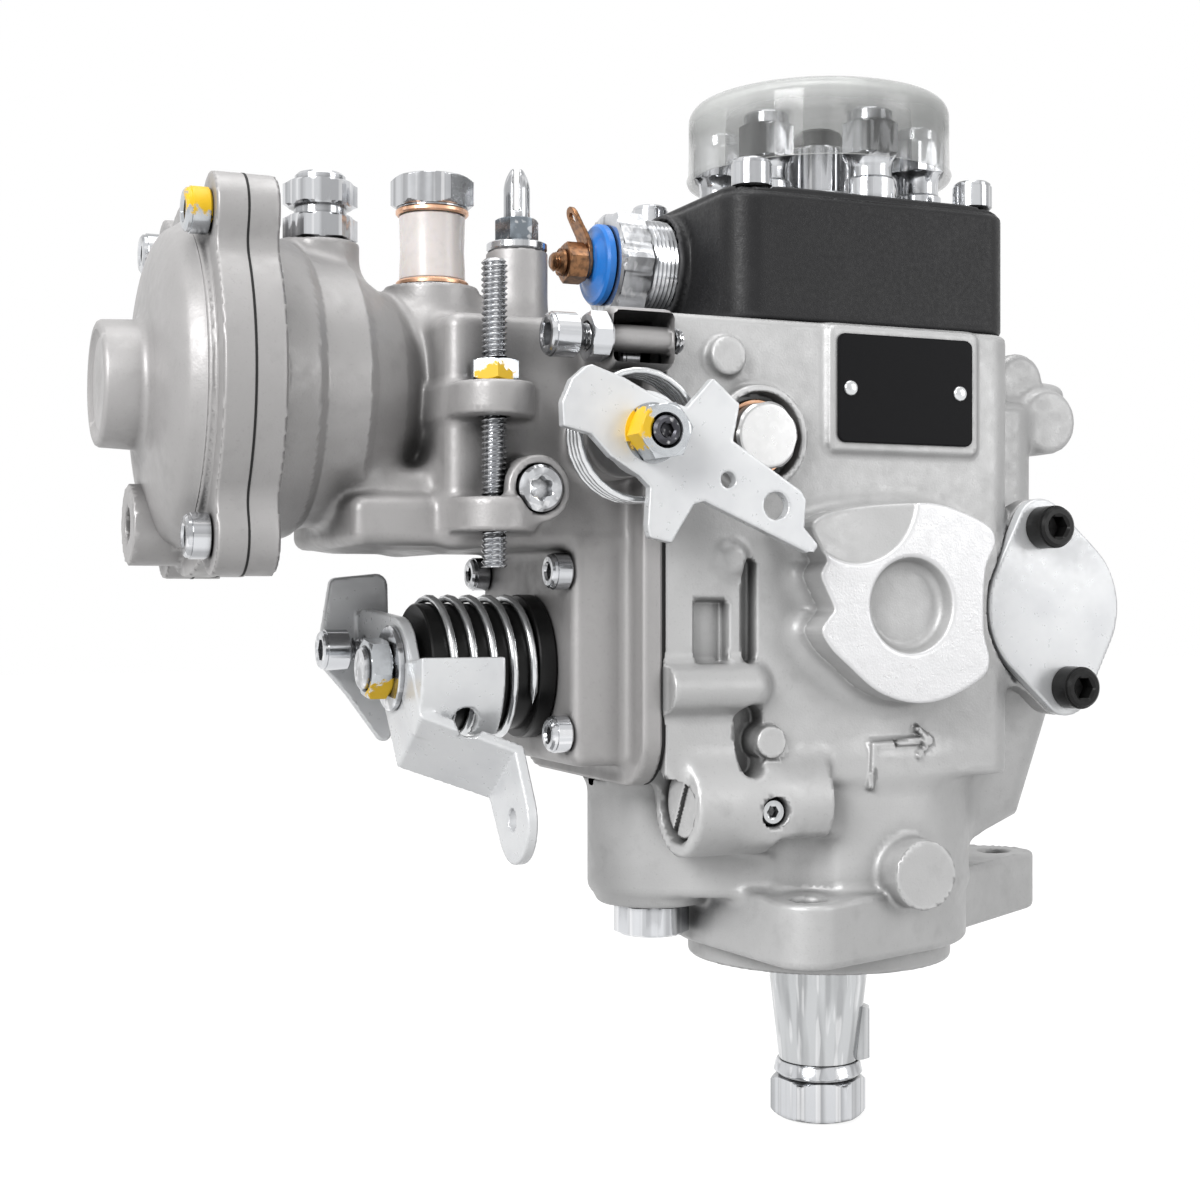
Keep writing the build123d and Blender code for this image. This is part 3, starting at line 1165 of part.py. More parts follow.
with BuildPart() as governor_cage:
    governor_plane = Plane(origin=(GOVERNOR_X, 0, GEAR_Z), x_dir=(1, 0, 0), z_dir=UP)
    gear(GOVERNOR_TEETH, governor_plane.rotated((0, 0, 180 / GOVERNOR_TEETH)), GEAR_W)
    rod(facing(GOVERNOR_X, 0, CAGE_Z, UP), CAGE_R, CAGE_FLOOR_T)
    with BuildSketch(Plane(origin=(GOVERNOR_X, 0, CAGE_Z))) as ears:
        with PolarLocations(0, WEIGHT_COUNT, start_angle=WEIGHT_START):
            for side in (-1, 1):
                with Locations((WEIGHT_PIVOT_R, side * (WEIGHT_W / 2 + GAP + WEIGHT_EAR_T / 2))):
                    Rectangle(WEIGHT_EAR_W, WEIGHT_EAR_T)
    extrude(ears.sketch, amount=WEIGHT_PIVOT_Z - CAGE_Z + WEIGHT_EAR_TOP)
    for number in range(WEIGHT_COUNT):
        pin_plane = weight_plane(number).offset(-WEIGHT_W)
        rod(pin_plane, WEIGHT_PIN_R + RUN, 2 * WEIGHT_W, mode=Mode.SUBTRACT)
    rod(facing(GOVERNOR_X, 0, GEAR_Z, UP), GOVERNOR_SHAFT_R + RUN, DEEP, mode=Mode.SUBTRACT)
keep(governor_cage, "governor_cage")

for number in range(WEIGHT_COUNT):
    # each weight hangs on its pin, with a toe under the sleeve's flange
    weight_side = weight_plane(number)
    with BuildPart() as flyweight:
        with BuildSketch(weight_side) as weight_outline:
            Circle(WEIGHT_HUB_R)
            with Locations((WEIGHT_SHIFT, WEIGHT_FOOT_H)):
                Rectangle(
                    WEIGHT_T,
                    WEIGHT_TOP_Z - WEIGHT_PIVOT_Z - WEIGHT_FOOT_H,
                    align=(Align.CENTER, Align.MIN),
                )
            Rectangle(WEIGHT_NECK_W, WEIGHT_FOOT_H + LAP, align=(Align.CENTER, Align.MIN))
            with Locations((WEIGHT_TOE_R - WEIGHT_PIVOT_R, 0)):
                Rectangle(WEIGHT_PIVOT_R - WEIGHT_TOE_R, WEIGHT_TOE_T, align=(Align.MIN, Align.CENTER))
        extrude(weight_outline.sketch, amount=WEIGHT_W / 2, both=True)
        rod(
            weight_side.offset(-WEIGHT_W / 2 - WEIGHT_PIN_END),
            WEIGHT_PIN_R,
            WEIGHT_W + 2 * WEIGHT_PIN_END,
        )
    keep(flyweight, f"flyweight_{number + 1}")

with BuildPart() as sliding_sleeve:
    rod(facing(GOVERNOR_X, 0, SLEEVE_FLANGE_Z, UP), SLEEVE_R, SLEEVE_TOP_Z - SLEEVE_FLANGE_Z)
    rod(facing(GOVERNOR_X, 0, SLEEVE_FLANGE_Z, UP), SLEEVE_FLANGE_R, SLEEVE_FLANGE_T)
    rod(facing(GOVERNOR_X, 0, SLEEVE_TOP_Z, UP), SLEEVE_NOSE_R, SLEEVE_NOSE_H)
    rod(
        facing(GOVERNOR_X, 0, SLEEVE_FLANGE_Z, UP),
        GOVERNOR_SHAFT_R + RUN,
        SLEEVE_TOP_Z - SLEEVE_NOSE_H - SLEEVE_FLANGE_Z,
        mode=Mode.SUBTRACT,
    )
keep(sliding_sleeve, "sliding_sleeve")

with BuildPart() as governor_lever:
    plate_z = SLEEVE_TOP_Z + SLEEVE_NOSE_H + GAP
    block((LEVER_END_X, -LEVER_W / 2, plate_z), (LEVER_PIVOT_X, LEVER_W / 2, plate_z + LEVER_T))
    rod(facing(LEVER_PIVOT_X, -LEVER_W / 2, LEVER_PIVOT_Z, BACK), LEVER_HUB_R, LEVER_W)
    rod(facing(LEVER_PIVOT_X, 0, LEVER_PIVOT_Z, RIGHT), BALL_ARM_R, BALL_X - LEVER_PIVOT_X)
    with Locations((BALL_X, 0, LEVER_PIVOT_Z)):
        Sphere(BALL_R)
keep(governor_lever, "governor_lever")

with BuildPart() as governor_spring:
    spring_z = SPEED_Z + SPEED_PIN_OFFSET + CRANK_PIN_R + GAP
    spring_foot = facing(GOVERNOR_SPRING_X, GOVERNOR_SPRING_Y, spring_z, UP)
    rod(spring_foot, GOVERNOR_SPRING_R, plate_z - GAP - spring_z)
    rod(spring_foot, GOVERNOR_SPRING_R - GOVERNOR_SPRING_WIRE, DEEP, mode=Mode.SUBTRACT)
keep(governor_spring, "governor_spring")

# ---- governor cover with the boost compensator's bowl ---------------------------------------------
with BuildPart() as governor_cover:
    cushion(
        (COVER_FACE_X - COVER_FLANGE_T, -COVER_FLANGE_HALF_Y, COVER_FLANGE_Z),
        (COVER_FACE_X, COVER_FLANGE_HALF_Y, COVER_FLANGE_TOP_Z),
        COVER_CORNER_R,
    )
    pillar(
        (LOWER_BOX_X, -LOWER_BOX_HALF_Y, LOWER_BOX_Z),
        (COVER_FACE_X - LAP, LOWER_BOX_HALF_Y, UPPER_BOX_Z + LAP),
        BOX_EDGE_R,
    )
    pillar(
        (UPPER_BOX_X, -UPPER_BOX_HALF_Y, UPPER_BOX_Z),
        (COVER_FACE_X - LAP, UPPER_BOX_HALF_Y, UPPER_BOX_TOP_Z),
        BOX_EDGE_R,
    )
    # bowl, narrowing into the upper box
    with BuildSketch(Plane.XZ) as bowl:
        with BuildLine():
            Polyline(
                (BOOST_SEAM_X, BOOST_Z),
                (BOOST_SEAM_X, BOOST_Z + BOWL_R),
                (BOOST_SEAM_X + BOWL_RIM, BOOST_Z + BOWL_R),
            )
            ThreePointArc(
                (BOOST_SEAM_X + BOWL_RIM, BOOST_Z + BOWL_R),
                (BOOST_SEAM_X + BOWL_MID_L, BOOST_Z + BOWL_CAVITY_R - BOWL_MID_DROP),
                (UPPER_BOX_X, BOOST_Z + BOWL_NECK_R),
            )
            Polyline(
                (UPPER_BOX_X, BOOST_Z + BOWL_NECK_R),
                (UPPER_BOX_X + BOX_ROOT, BOOST_Z),
                (BOOST_SEAM_X, BOOST_Z),
            )
        make_face()
    revolve(bowl.sketch, Axis((0, 0, BOOST_Z), RIGHT))
    for step, foot_top_z in enumerate((BOWL_FOOT_Z, BOWL_FOOT_TOP_Z)):
        foot_half_y = UPPER_BOX_HALF_Y - BOWL_FOOT_INSET - step * BOWL_FOOT_STEP
        pillar(
            (BOWL_FOOT_X + LAP * step, -foot_half_y, UPPER_BOX_Z),
            (UPPER_BOX_X + BOX_ROOT, foot_half_y, foot_top_z),
            BOX_EDGE_R,
        )
    boost_plane = Plane(origin=(BOOST_SEAM_X, 0, BOOST_Z), x_dir=(0, 1, 0), z_dir=RIGHT)
    rod(boost_plane, BOOST_R, BOOST_FLANGE_T)
    for diagonal in BOOST_DIAGONALS:
        web(boost_plane, diagonal, BOOST_FLANGE_T)
    # bosses for the return banjo, the full-load screw and the union
    rod(
        facing(BANJO_X, BANJO_Y, UPPER_BOX_TOP_Z - BOX_ROOT, UP),
        BANJO_BOSS_R,
        BANJO_BOSS_Z - UPPER_BOX_TOP_Z + BOX_ROOT,
    )
    rod(
        facing(FULL_LOAD_X, FULL_LOAD_Y, UPPER_BOX_TOP_Z - LAP, UP),
        FULL_LOAD_BOSS_R,
        FULL_LOAD_BOSS_Z - UPPER_BOX_TOP_Z + LAP,
    )
    rod(facing(UNION_X, 0, UNION_Z - UNION_BOSS_L, UP), UNION_BOSS_R, UNION_BOSS_L)
    # bosses for the two lever shafts
    rod(facing(STOP_X, 0, STOP_Z, FRONT), STOP_BOSS_SHAFT_R, -STOP_BOSS_END_Y)
    speed_boss = facing(LOWER_BOX_X + LAP, SPEED_Y, SPEED_Z, LEFT)
    rod(speed_boss, SPEED_BOSS_R, LOWER_BOX_X + LAP - SPEED_BOSS_X)
    pivot_boss = facing(PIVOT_SCREW_X, LAP - UPPER_BOX_HALF_Y, PIVOT_SCREW_Z, FRONT)
    rod(pivot_boss, PIVOT_BOSS_R, LAP + BOSS_PROUD)
    # boss of the stop screw and the two lugs of the speed screw
    rod(facing(STOP_BOSS_X, STOP_SCREW_Y, STOP_SCREW_Z, RIGHT), STOP_BOSS_R, COVER_FACE_X - STOP_BOSS_X)
    block(
        (STOP_BOSS_X, STOP_SCREW_Y, STOP_SCREW_Z - STOP_WEB_DOWN),
        (COVER_FACE_X, LAP - UPPER_BOX_HALF_Y, STOP_SCREW_Z + STOP_WEB_UP),
    )
    for z in (SPEED_LUG_LOW_Z, SPEED_LUG_HIGH_Z):
        lug_root = (SPEED_SCREW_X, SPEED_LUG_R - UPPER_BOX_HALF_Y, SPEED_LUG_R)
        web(Plane.XY.offset(z), [(SPEED_SCREW_X, SPEED_SCREW_Y, SPEED_LUG_R), lug_root], SPEED_LUG_T)
    # inside: governor chamber, boost chamber and the bores between them
    block(
        (LOWER_BOX_X + COVER_WALL, -CHAMBER_HALF_Y, LOWER_BOX_Z + COVER_WALL),
        (COVER_FACE_X, CHAMBER_HALF_Y, CHAMBER_TOP_Z),
        mode=Mode.SUBTRACT,
    )
    block(
        (COVER_FACE_X - COVER_FLANGE_T, -CHAMBER_HALF_Y, COVER_FLANGE_Z + COVER_SILL),
        (COVER_FACE_X, CHAMBER_HALF_Y, CHAMBER_TOP_Z),
        mode=Mode.SUBTRACT,
    )
    block(
        (UPPER_CHAMBER_X, UPPER_CHAMBER_WALL - UPPER_BOX_HALF_Y, UPPER_BOX_Z + COVER_WALL),
        (COVER_FACE_X, UPPER_BOX_HALF_Y - UPPER_CHAMBER_WALL, CHAMBER_TOP_Z - LAP),
        mode=Mode.SUBTRACT,
    )
    rod(facing(BOOST_SEAM_X, 0, BOOST_Z, RIGHT), BOWL_CAVITY_R, BOWL_CAVITY_L, mode=Mode.SUBTRACT)
    rod(facing(BOOST_SEAM_X, 0, BOOST_Z, RIGHT), BOWL_WELL_R, BOWL_WELL_L, mode=Mode.SUBTRACT)
    rod(
        facing(BOOST_SEAM_X, 0, BOOST_Z, RIGHT),
        BOOST_STEM_R + RUN,
        UPPER_CHAMBER_X + LAP - BOOST_SEAM_X,
        mode=Mode.SUBTRACT,
    )
    rod(facing(STOP_X, 0, STOP_Z, FRONT), STOP_SHAFT_R + RUN, DEEP, mode=Mode.SUBTRACT)
    rod(
        facing(LOWER_BOX_X + COVER_WALL + LAP, SPEED_Y, SPEED_Z, LEFT),
        SPEED_SHAFT_R + RUN,
        DEEP,
        mode=Mode.SUBTRACT,
    )
    rod(facing(BANJO_X, BANJO_Y, BANJO_BOSS_Z, DOWN), BANJO_BOLT_R, BANJO_BITE + LAP, mode=Mode.SUBTRACT)
    full_load_bore = facing(FULL_LOAD_X, FULL_LOAD_Y, FULL_LOAD_BOSS_Z, DOWN)
    rod(full_load_bore, FULL_LOAD_R, FULL_LOAD_BITE, mode=Mode.SUBTRACT)
    rod(facing(UNION_X, 0, UNION_Z, DOWN), UNION_R, UNION_BITE, mode=Mode.SUBTRACT)
    rod(facing(STOP_SCREW_X, STOP_SCREW_Y, STOP_SCREW_Z, RIGHT), STOP_SCREW_R, DEEP, mode=Mode.SUBTRACT)
    speed_bore_l = SPEED_LUG_HIGH_Z + SPEED_LUG_T - SPEED_SCREW_Z
    speed_bore = facing(SPEED_SCREW_X, SPEED_SCREW_Y, SPEED_SCREW_Z, UP)
    rod(speed_bore, SPEED_SCREW_R, speed_bore_l, mode=Mode.SUBTRACT)
    pivot_face = facing(PIVOT_SCREW_X, PIVOT_BOSS_Y, PIVOT_SCREW_Z, FRONT)
    rod(pivot_face.offset(-PIVOT_HEAD_SUNK), PIVOT_HEAD_R + GAP, DEEP, mode=Mode.SUBTRACT)
    rod(pivot_face.offset(-PIVOT_SCREW_L), PIVOT_SCREW_R, PIVOT_SCREW_L, mode=Mode.SUBTRACT)
    for y, z, seat in COVER_SCREW_PLACES:
        rod(facing(COVER_FACE_X, y, z, LEFT), COVER_SCREW_R, seat, mode=Mode.SUBTRACT)
        rod(
            facing(COVER_FACE_X - seat, y, z, LEFT),
            COVER_SCREW_HEAD_R + GAP,
            COVER_SCREW_ROOM,
            mode=Mode.SUBTRACT,
        )
    for side in (-1, 1):
        for rise in (-1, 1):
            rod(
                facing(BOOST_SEAM_X, side * BOOST_SCREW_Y, BOOST_Z + rise * BOOST_SCREW_Z, RIGHT),
                BOOST_SCREW_R,
                BOOST_FLANGE_T,
                mode=Mode.SUBTRACT,
            )
keep(governor_cover, "governor_cover")

with BuildPart() as cover_gasket:
    cushion(
        (COVER_FACE_X, -BODY_HALF_Y, COVER_FLANGE_Z),
        (HOUSING_FACE_X, BODY_HALF_Y, COVER_FLANGE_TOP_Z),
        COVER_CORNER_R,
    )
    block(
        (COVER_FACE_X - LAP, -CHAMBER_HALF_Y, COVER_FLANGE_Z + COVER_SILL),
        (HOUSING_FACE_X + LAP, CHAMBER_HALF_Y, CHAMBER_TOP_Z),
        mode=Mode.SUBTRACT,
    )
    for y, z, seat in COVER_SCREW_PLACES:
        gasket_bore = facing(COVER_FACE_X - LAP, y, z, RIGHT)
        rod(gasket_bore, COVER_SCREW_R, GASKET_T + 2 * LAP, mode=Mode.SUBTRACT)
keep(cover_gasket, "cover_gasket")

with BuildPart() as cover_screws:
    for y, z, seat in COVER_SCREW_PLACES:
        head_plane = facing(COVER_FACE_X - seat, y, z, LEFT)
        screw_l = seat + GASKET_T + COVER_SCREW_BITE
        rod(head_plane, COVER_SCREW_HEAD_R, COVER_SCREW_HEAD_H)
        rod(
            head_plane.offset(COVER_SCREW_HEAD_H - COVER_KEY_DEPTH),
            COVER_KEY_R,
            COVER_KEY_DEPTH,
            mode=Mode.SUBTRACT,
        )
        rod(head_plane.offset(-screw_l), COVER_SCREW_R, screw_l)
    # pivot screw of the full-load lever
    pivot_plane = facing(PIVOT_SCREW_X, PIVOT_BOSS_Y, PIVOT_SCREW_Z, FRONT)
    rod(pivot_plane.offset(-PIVOT_SCREW_L), PIVOT_SCREW_R, PIVOT_SCREW_L)
    rod(pivot_plane.offset(-PIVOT_HEAD_SUNK), PIVOT_HEAD_R, PIVOT_HEAD_H)
    rod(pivot_plane.offset(-LAP), PIVOT_KEY_R, PIVOT_HEAD_H, mode=Mode.SUBTRACT)
keep(cover_screws, "cover_screws")

# ---- boost compensator's cover and inner pieces -----------------------------------------------
with BuildPart() as boost_cover:
    rim_plane = Plane(
        origin=(BOOST_SEAM_X - DIAPHRAGM_T, 0, BOOST_Z), x_dir=(0, 1, 0), z_dir=LEFT
    )
    rod(rim_plane, BOOST_R, BOOST_FLANGE_T)
    for diagonal in BOOST_DIAGONALS:
        web(rim_plane, diagonal, BOOST_FLANGE_T)
    rim_x = BOOST_SEAM_X - DIAPHRAGM_T - BOOST_FLANGE_T
    with BuildSketch(Plane.XZ) as dome:
        with BuildLine():
            Polyline((rim_x, BOOST_Z), (rim_x, BOOST_Z + DOME_R))
            ThreePointArc(
                (rim_x, BOOST_Z + DOME_R),
                (rim_x - DOME_MID_L, BOOST_Z + DOME_MID_R),
                (rim_x - DOME_RISE, BOOST_Z + DOME_TOP_R),
            )
            Polyline(
                (rim_x - DOME_RISE, BOOST_Z + DOME_TOP_R),
                (rim_x - DOME_RISE - DOME_STEP, BOOST_Z + DOME_BOSS_R),
                (DOME_BOSS_X, BOOST_Z + DOME_BOSS_R - DOME_BOSS_TAPER),
                (DOME_BOSS_X, BOOST_Z),
                (rim_x, BOOST_Z),
            )
        make_face()
    revolve(dome.sketch, Axis((0, 0, BOOST_Z), RIGHT))
    rod(facing(rim_x, PORT_Y, PORT_Z, LEFT), PORT_R, rim_x - PORT_X)
    rod(facing(PORT_X, PORT_Y, PORT_Z, RIGHT), PORT_BORE_R, PORT_DEPTH, mode=Mode.SUBTRACT)
    rod(rim_plane, BOWL_CAVITY_R, DOME_CAVITY_L, mode=Mode.SUBTRACT)
    rod(facing(DOME_BOSS_X, 0, BOOST_Z, RIGHT), DOME_DISH_R, DOME_DISH_L, mode=Mode.SUBTRACT)
    for side in (-1, 1):
        for rise in (-1, 1):
            with Locations(rim_plane):
                with Locations((side * BOOST_SCREW_Y, rise * BOOST_SCREW_Z)):
                    Cylinder(BOOST_SCREW_R, DEEP, mode=Mode.SUBTRACT)
keep(boost_cover, "boost_cover")

with BuildPart() as boost_screws:
    for side in (-1, 1):
        for rise in (-1, 1):
            y = side * BOOST_SCREW_Y
            z = BOOST_Z + rise * BOOST_SCREW_Z
            boost_seat = facing(rim_x, y, z, LEFT)
            boost_screw_l = 2 * BOOST_FLANGE_T + DIAPHRAGM_T
            rod(boost_seat, BOOST_SCREW_HEAD_R, BOOST_SCREW_HEAD_H)
            rod(
                boost_seat.offset(BOOST_SCREW_HEAD_H - BOOST_KEY_DEPTH),
                BOOST_KEY_R,
                BOOST_KEY_DEPTH,
                mode=Mode.SUBTRACT,
            )
            rod(boost_seat.offset(-boost_screw_l), BOOST_SCREW_R, boost_screw_l)
keep(boost_screws, "boost_screws")

with BuildPart() as boost_diaphragm:
    rod(rim_plane.offset(-DIAPHRAGM_T), BOOST_R, DIAPHRAGM_T)
    rod(rim_plane.offset(-DIAPHRAGM_T), BOOST_STEM_R + GAP, DIAPHRAGM_T, mode=Mode.SUBTRACT)
    for side in (-1, 1):
        for rise in (-1, 1):
            with Locations(rim_plane):
                with Locations((side * BOOST_SCREW_Y, rise * BOOST_SCREW_Z)):
                    Cylinder(BOOST_SCREW_R, DEEP, mode=Mode.SUBTRACT)
keep(boost_diaphragm, "boost_diaphragm")

with BuildPart() as boost_stem:
    plate_x = BOOST_SEAM_X + RUN
    rod(facing(plate_x, 0, BOOST_Z, RIGHT), DIAPHRAGM_PLATE_R, DIAPHRAGM_PLATE_T)
    stem_x = plate_x - BOOST_STEM_PROUD
    rod(facing(stem_x, 0, BOOST_Z, RIGHT), BOOST_STEM_R, BOOST_STEM_END_X - stem_x)
keep(boost_stem, "boost_stem")

with BuildPart() as boost_union:
    union_foot = facing(UNION_X, 0, UNION_Z - UNION_BITE, UP)
    rod(union_foot, UNION_R, UNION_BITE + UNION_NECK + 2 * UNION_HEX_H + UNION_END)
    for hex_foot_z in (UNION_Z, UNION_Z + UNION_HEX_H + UNION_NECK):
        hex_bar(facing(UNION_X, 0, hex_foot_z, UP), UNION_AF, UNION_HEX_H)
    rod(union_foot, UNION_BORE_R, DEEP, mode=Mode.SUBTRACT)
keep(boost_union, "boost_union")

# ---- return banjo ---------------------------------------------------------------------------
sleeve_z = BANJO_BOSS_Z + BANJO_WASHER_T
hex_z = sleeve_z + RETURN_SLEEVE_H + BANJO_WASHER_T
with BuildPart() as banjo_bolt:
    rod(
        facing(BANJO_X, BANJO_Y, BANJO_BOSS_Z - BANJO_BITE, UP),
        BANJO_BOLT_R,
        hex_z - BANJO_BOSS_Z + BANJO_BITE,
    )
    hex_bar(facing(BANJO_X, BANJO_Y, hex_z, UP), BANJO_HEX_AF, BANJO_HEX_H)
keep(banjo_bolt, "banjo_bolt")

with BuildPart() as sealing_washers:
    for z in (BANJO_BOSS_Z, hex_z - BANJO_WASHER_T):
        rod(facing(BANJO_X, BANJO_Y, z, UP), BANJO_WASHER_R, BANJO_WASHER_T)
        rod(facing(BANJO_X, BANJO_Y, z, UP), BANJO_BOLT_R, BANJO_WASHER_T, mode=Mode.SUBTRACT)
keep(sealing_washers, "sealing_washers")

with BuildPart() as return_sleeve:
    sleeve_foot = facing(BANJO_X, BANJO_Y, sleeve_z, UP)
    rod(sleeve_foot, RETURN_SLEEVE_R, RETURN_SLEEVE_H)
    rod(sleeve_foot, RETURN_SLEEVE_R - RETURN_SLEEVE_WALL, RETURN_SLEEVE_H, mode=Mode.SUBTRACT)
keep(return_sleeve, "return_sleeve")

# ---- adjusting screws -----------------------------------------------------------------------
with BuildPart() as adjusting_screws:
    # full-load screw with its collar, nut and dome
    nut_plane = facing(FULL_LOAD_X, FULL_LOAD_Y, FULL_LOAD_BOSS_Z, UP)
    rod(nut_plane.offset(-FULL_LOAD_BITE), FULL_LOAD_R, FULL_LOAD_BITE + LAP)
    hex_bar(nut_plane, FULL_LOAD_NUT_AF, FULL_LOAD_NUT_H)
    bar_top_z = FULL_LOAD_TOP_Z - FULL_LOAD_TIP_H
    rod(
        nut_plane.offset(FULL_LOAD_NUT_H),
        FULL_LOAD_CAP_R,
        bar_top_z - FULL_LOAD_BOSS_Z - FULL_LOAD_NUT_H,
    )
    cone(
        facing(FULL_LOAD_X, FULL_LOAD_Y, bar_top_z, UP),
        FULL_LOAD_CAP_R,
        FULL_LOAD_TIP_R,
        FULL_LOAD_TIP_H,
    )
    # speed screw and its locknut
    rod(speed_bore, SPEED_SCREW_R, SPEED_SCREW_TOP_Z - SPEED_SCREW_Z)
    hex_bar(speed_bore.offset(speed_bore_l), LOCKNUT_AF, LOCKNUT_H)
    # stop screw with a socket head and its locknut
    stop_head = facing(STOP_SCREW_X, STOP_SCREW_Y, STOP_SCREW_Z, RIGHT)
    rod(stop_head, STOP_SCREW_R, STOP_SCREW_END_X - STOP_SCREW_X)
    rod(stop_head, STOP_SCREW_HEAD_R, STOP_SCREW_HEAD_L)
    hex_bar(stop_head, STOP_KEY_AF, STOP_KEY_DEPTH, mode=Mode.SUBTRACT)
    hex_bar(facing(STOP_BOSS_X, STOP_SCREW_Y, STOP_SCREW_Z, LEFT), LOCKNUT_AF, LOCKNUT_H)
keep(adjusting_screws, "adjusting_screws")

# ---- timing device ----------------------------------------------------------------------------
with BuildPart() as timing_covers:
    for cover_y in (TIMING_FACE_Y, -TIMING_FACE_Y - TIMING_COVER_T):
        web(XZ_FRONT.offset(cover_y), TIMING_OUTLINE, TIMING_COVER_T)
    for x, z in (TIMING_TOP, TIMING_LOW):
        rod(facing(x, -DEEP / 2, z, BACK), TIMING_SCREW_R, DEEP, mode=Mode.SUBTRACT)
keep(timing_covers, "timing_covers")

with BuildPart() as timing_screws:
    for x, z in (TIMING_TOP, TIMING_LOW):
        for side, out in ((-1, FRONT), (1, BACK)):
            screw_foot = facing(x, side * (TIMING_FACE_Y - TIMING_SCREW_BITE), z, out)
            shank_l = TIMING_SCREW_BITE + TIMING_COVER_T
            rod(screw_foot, TIMING_SCREW_R, shank_l)
            rod(screw_foot.offset(shank_l), TIMING_CAP_R, TIMING_CAP_H)
keep(timing_screws, "timing_screws")

with BuildPart() as timing_piston:
    piston_start = facing(TIMING_X, PISTON_START_Y - PISTON_L / 2, TIMING_Z, BACK)
    rod(piston_start, TIMING_BORE_R - RUN, PISTON_L)
    block(
        (0, -PIN_BLOCK_R - PIN_PLAY, TIMING_Z - TIMING_PIN_R - PIN_BLOCK_END - GAP),
        (
            TIMING_X + PIN_BLOCK_R + GAP,
            PIN_BLOCK_R + PIN_PLAY,
            TIMING_Z + TIMING_PIN_R + PIN_BLOCK_END + GAP,
        ),
        mode=Mode.SUBTRACT,
    )
    rod(piston_start, TIMING_BORE_R - PISTON_WALL, PISTON_POCKET_L, mode=Mode.SUBTRACT)
keep(timing_piston, "timing_piston")

with BuildPart() as timing_spring:
    spring_y = PISTON_START_Y + PISTON_L / 2
    timing_spring_foot = facing(TIMING_X, spring_y, TIMING_Z, BACK)
    rod(timing_spring_foot, TIMING_SPRING_R, TIMING_FACE_Y - spring_y)
    rod(timing_spring_foot, TIMING_SPRING_R - TIMING_SPRING_WIRE, DEEP, mode=Mode.SUBTRACT)
keep(timing_spring, "timing_spring")

# ---- plugs and nameplate ------------------------------------------------------------------------
with BuildPart() as valve_plug:
    rod(
        facing(VALVE_FACE_X + VALVE_PLUG_SUNK, VALVE_Y, VALVE_Z, RIGHT),
        VALVE_BORE_R,
        VALVE_BORE_DEPTH - VALVE_PLUG_SUNK,
    )
    slot_end_x = VALVE_FACE_X + VALVE_PLUG_SUNK + VALVE_SLOT_DEPTH
    block(
        (VALVE_FACE_X, VALVE_Y - DEEP, VALVE_Z - VALVE_SLOT_W / 2),
        (slot_end_x, VALVE_Y + DEEP, VALVE_Z + VALVE_SLOT_W / 2),
        mode=Mode.SUBTRACT,
    )
keep(valve_plug, "valve_plug")

with BuildPart() as inlet_plug:
    inlet_face = facing(INLET_X, -BODY_HALF_Y - INLET_BOSS_T, INLET_Z, FRONT)
    rod(inlet_face.offset(-INLET_DEPTH), INLET_THREAD_R, INLET_DEPTH)
    rod(inlet_face, INLET_HEAD_R, INLET_HEAD_T)
    hex_bar(inlet_face, INLET_HEX_AF, INLET_HEX_H)
keep(inlet_plug, "inlet_plug")

with BuildPart() as nameplate:
    pad_y = BODY_HALF_Y + PLATE_PAD_T
    with BuildSketch(XZ_FRONT.offset(pad_y)) as plate:
        with Locations((PLATE_PAD_X, PLATE_PAD_Z)):
            RectangleRounded(NAMEPLATE_W, NAMEPLATE_H, NAMEPLATE_CORNER_R)
    extrude(plate.sketch, amount=NAMEPLATE_T)
    for side in (-1, 1):
        rod(
            facing(
                PLATE_PAD_X + side * RIVET_SPREAD / 2,
                -pad_y - NAMEPLATE_T,
                PLATE_PAD_Z - RIVET_DROP,
                FRONT,
            ),
            RIVET_R,
            RIVET_H,
        )
keep(nameplate, "nameplate")

# ---- stop lever -----------------------------------------------------------------------------------
STOP_PLANE = XZ_FRONT.offset(-STOP_LEVER_Y)
with BuildPart() as stop_lever:
    for arm in STOP_ARMS:
        circles = [(STOP_X + x, STOP_Z + z, radius) for x, z, radius in arm]
        web(STOP_PLANE, circles, STOP_LEVER_T)
    rod(facing(STOP_X, STOP_LEVER_Y, STOP_Z, BACK), STOP_HUB_R, STOP_HUB_T)
    rod(facing(STOP_X, 0, STOP_Z, FRONT), STOP_SHAFT_R, DEEP, mode=Mode.SUBTRACT)
    for x, z, radius in STOP_HOLES:
        rod(facing(STOP_X + x, 0, STOP_Z + z, FRONT), radius, DEEP, mode=Mode.SUBTRACT)
keep(stop_lever, "stop_lever")

with BuildPart() as stop_lever_shaft:
    rod(facing(STOP_X, STOP_CAM_Y, STOP_Z, FRONT), STOP_SHAFT_R, STOP_CAM_Y - STOP_SHAFT_END_Y)
    hex_bar(facing(STOP_X, STOP_LEVER_Y - STOP_LEVER_T, STOP_Z, FRONT), STOP_NUT_AF, STOP_NUT_H)
    block(
        (STOP_X - STOP_CAM_W / 2, STOP_CAM_Y - STOP_CAM_T, STOP_Z - STOP_CAM_L),
        (STOP_X + STOP_CAM_W / 2, STOP_CAM_Y, STOP_Z),
    )
keep(stop_lever_shaft, "stop_lever_shaft")

with BuildPart() as stop_spring:
    coil_l = STOP_BOSS_END_Y - STOP_LEVER_Y - STOP_HUB_T - 2 * GAP
    coil_plane = facing(STOP_X, STOP_BOSS_END_Y - GAP, STOP_Z, FRONT)
    rod(coil_plane, STOP_SPRING_R, coil_l)
    rod(coil_plane, STOP_SPRING_R - STOP_SPRING_WIRE, coil_l, mode=Mode.SUBTRACT)
keep(stop_spring, "stop_spring")

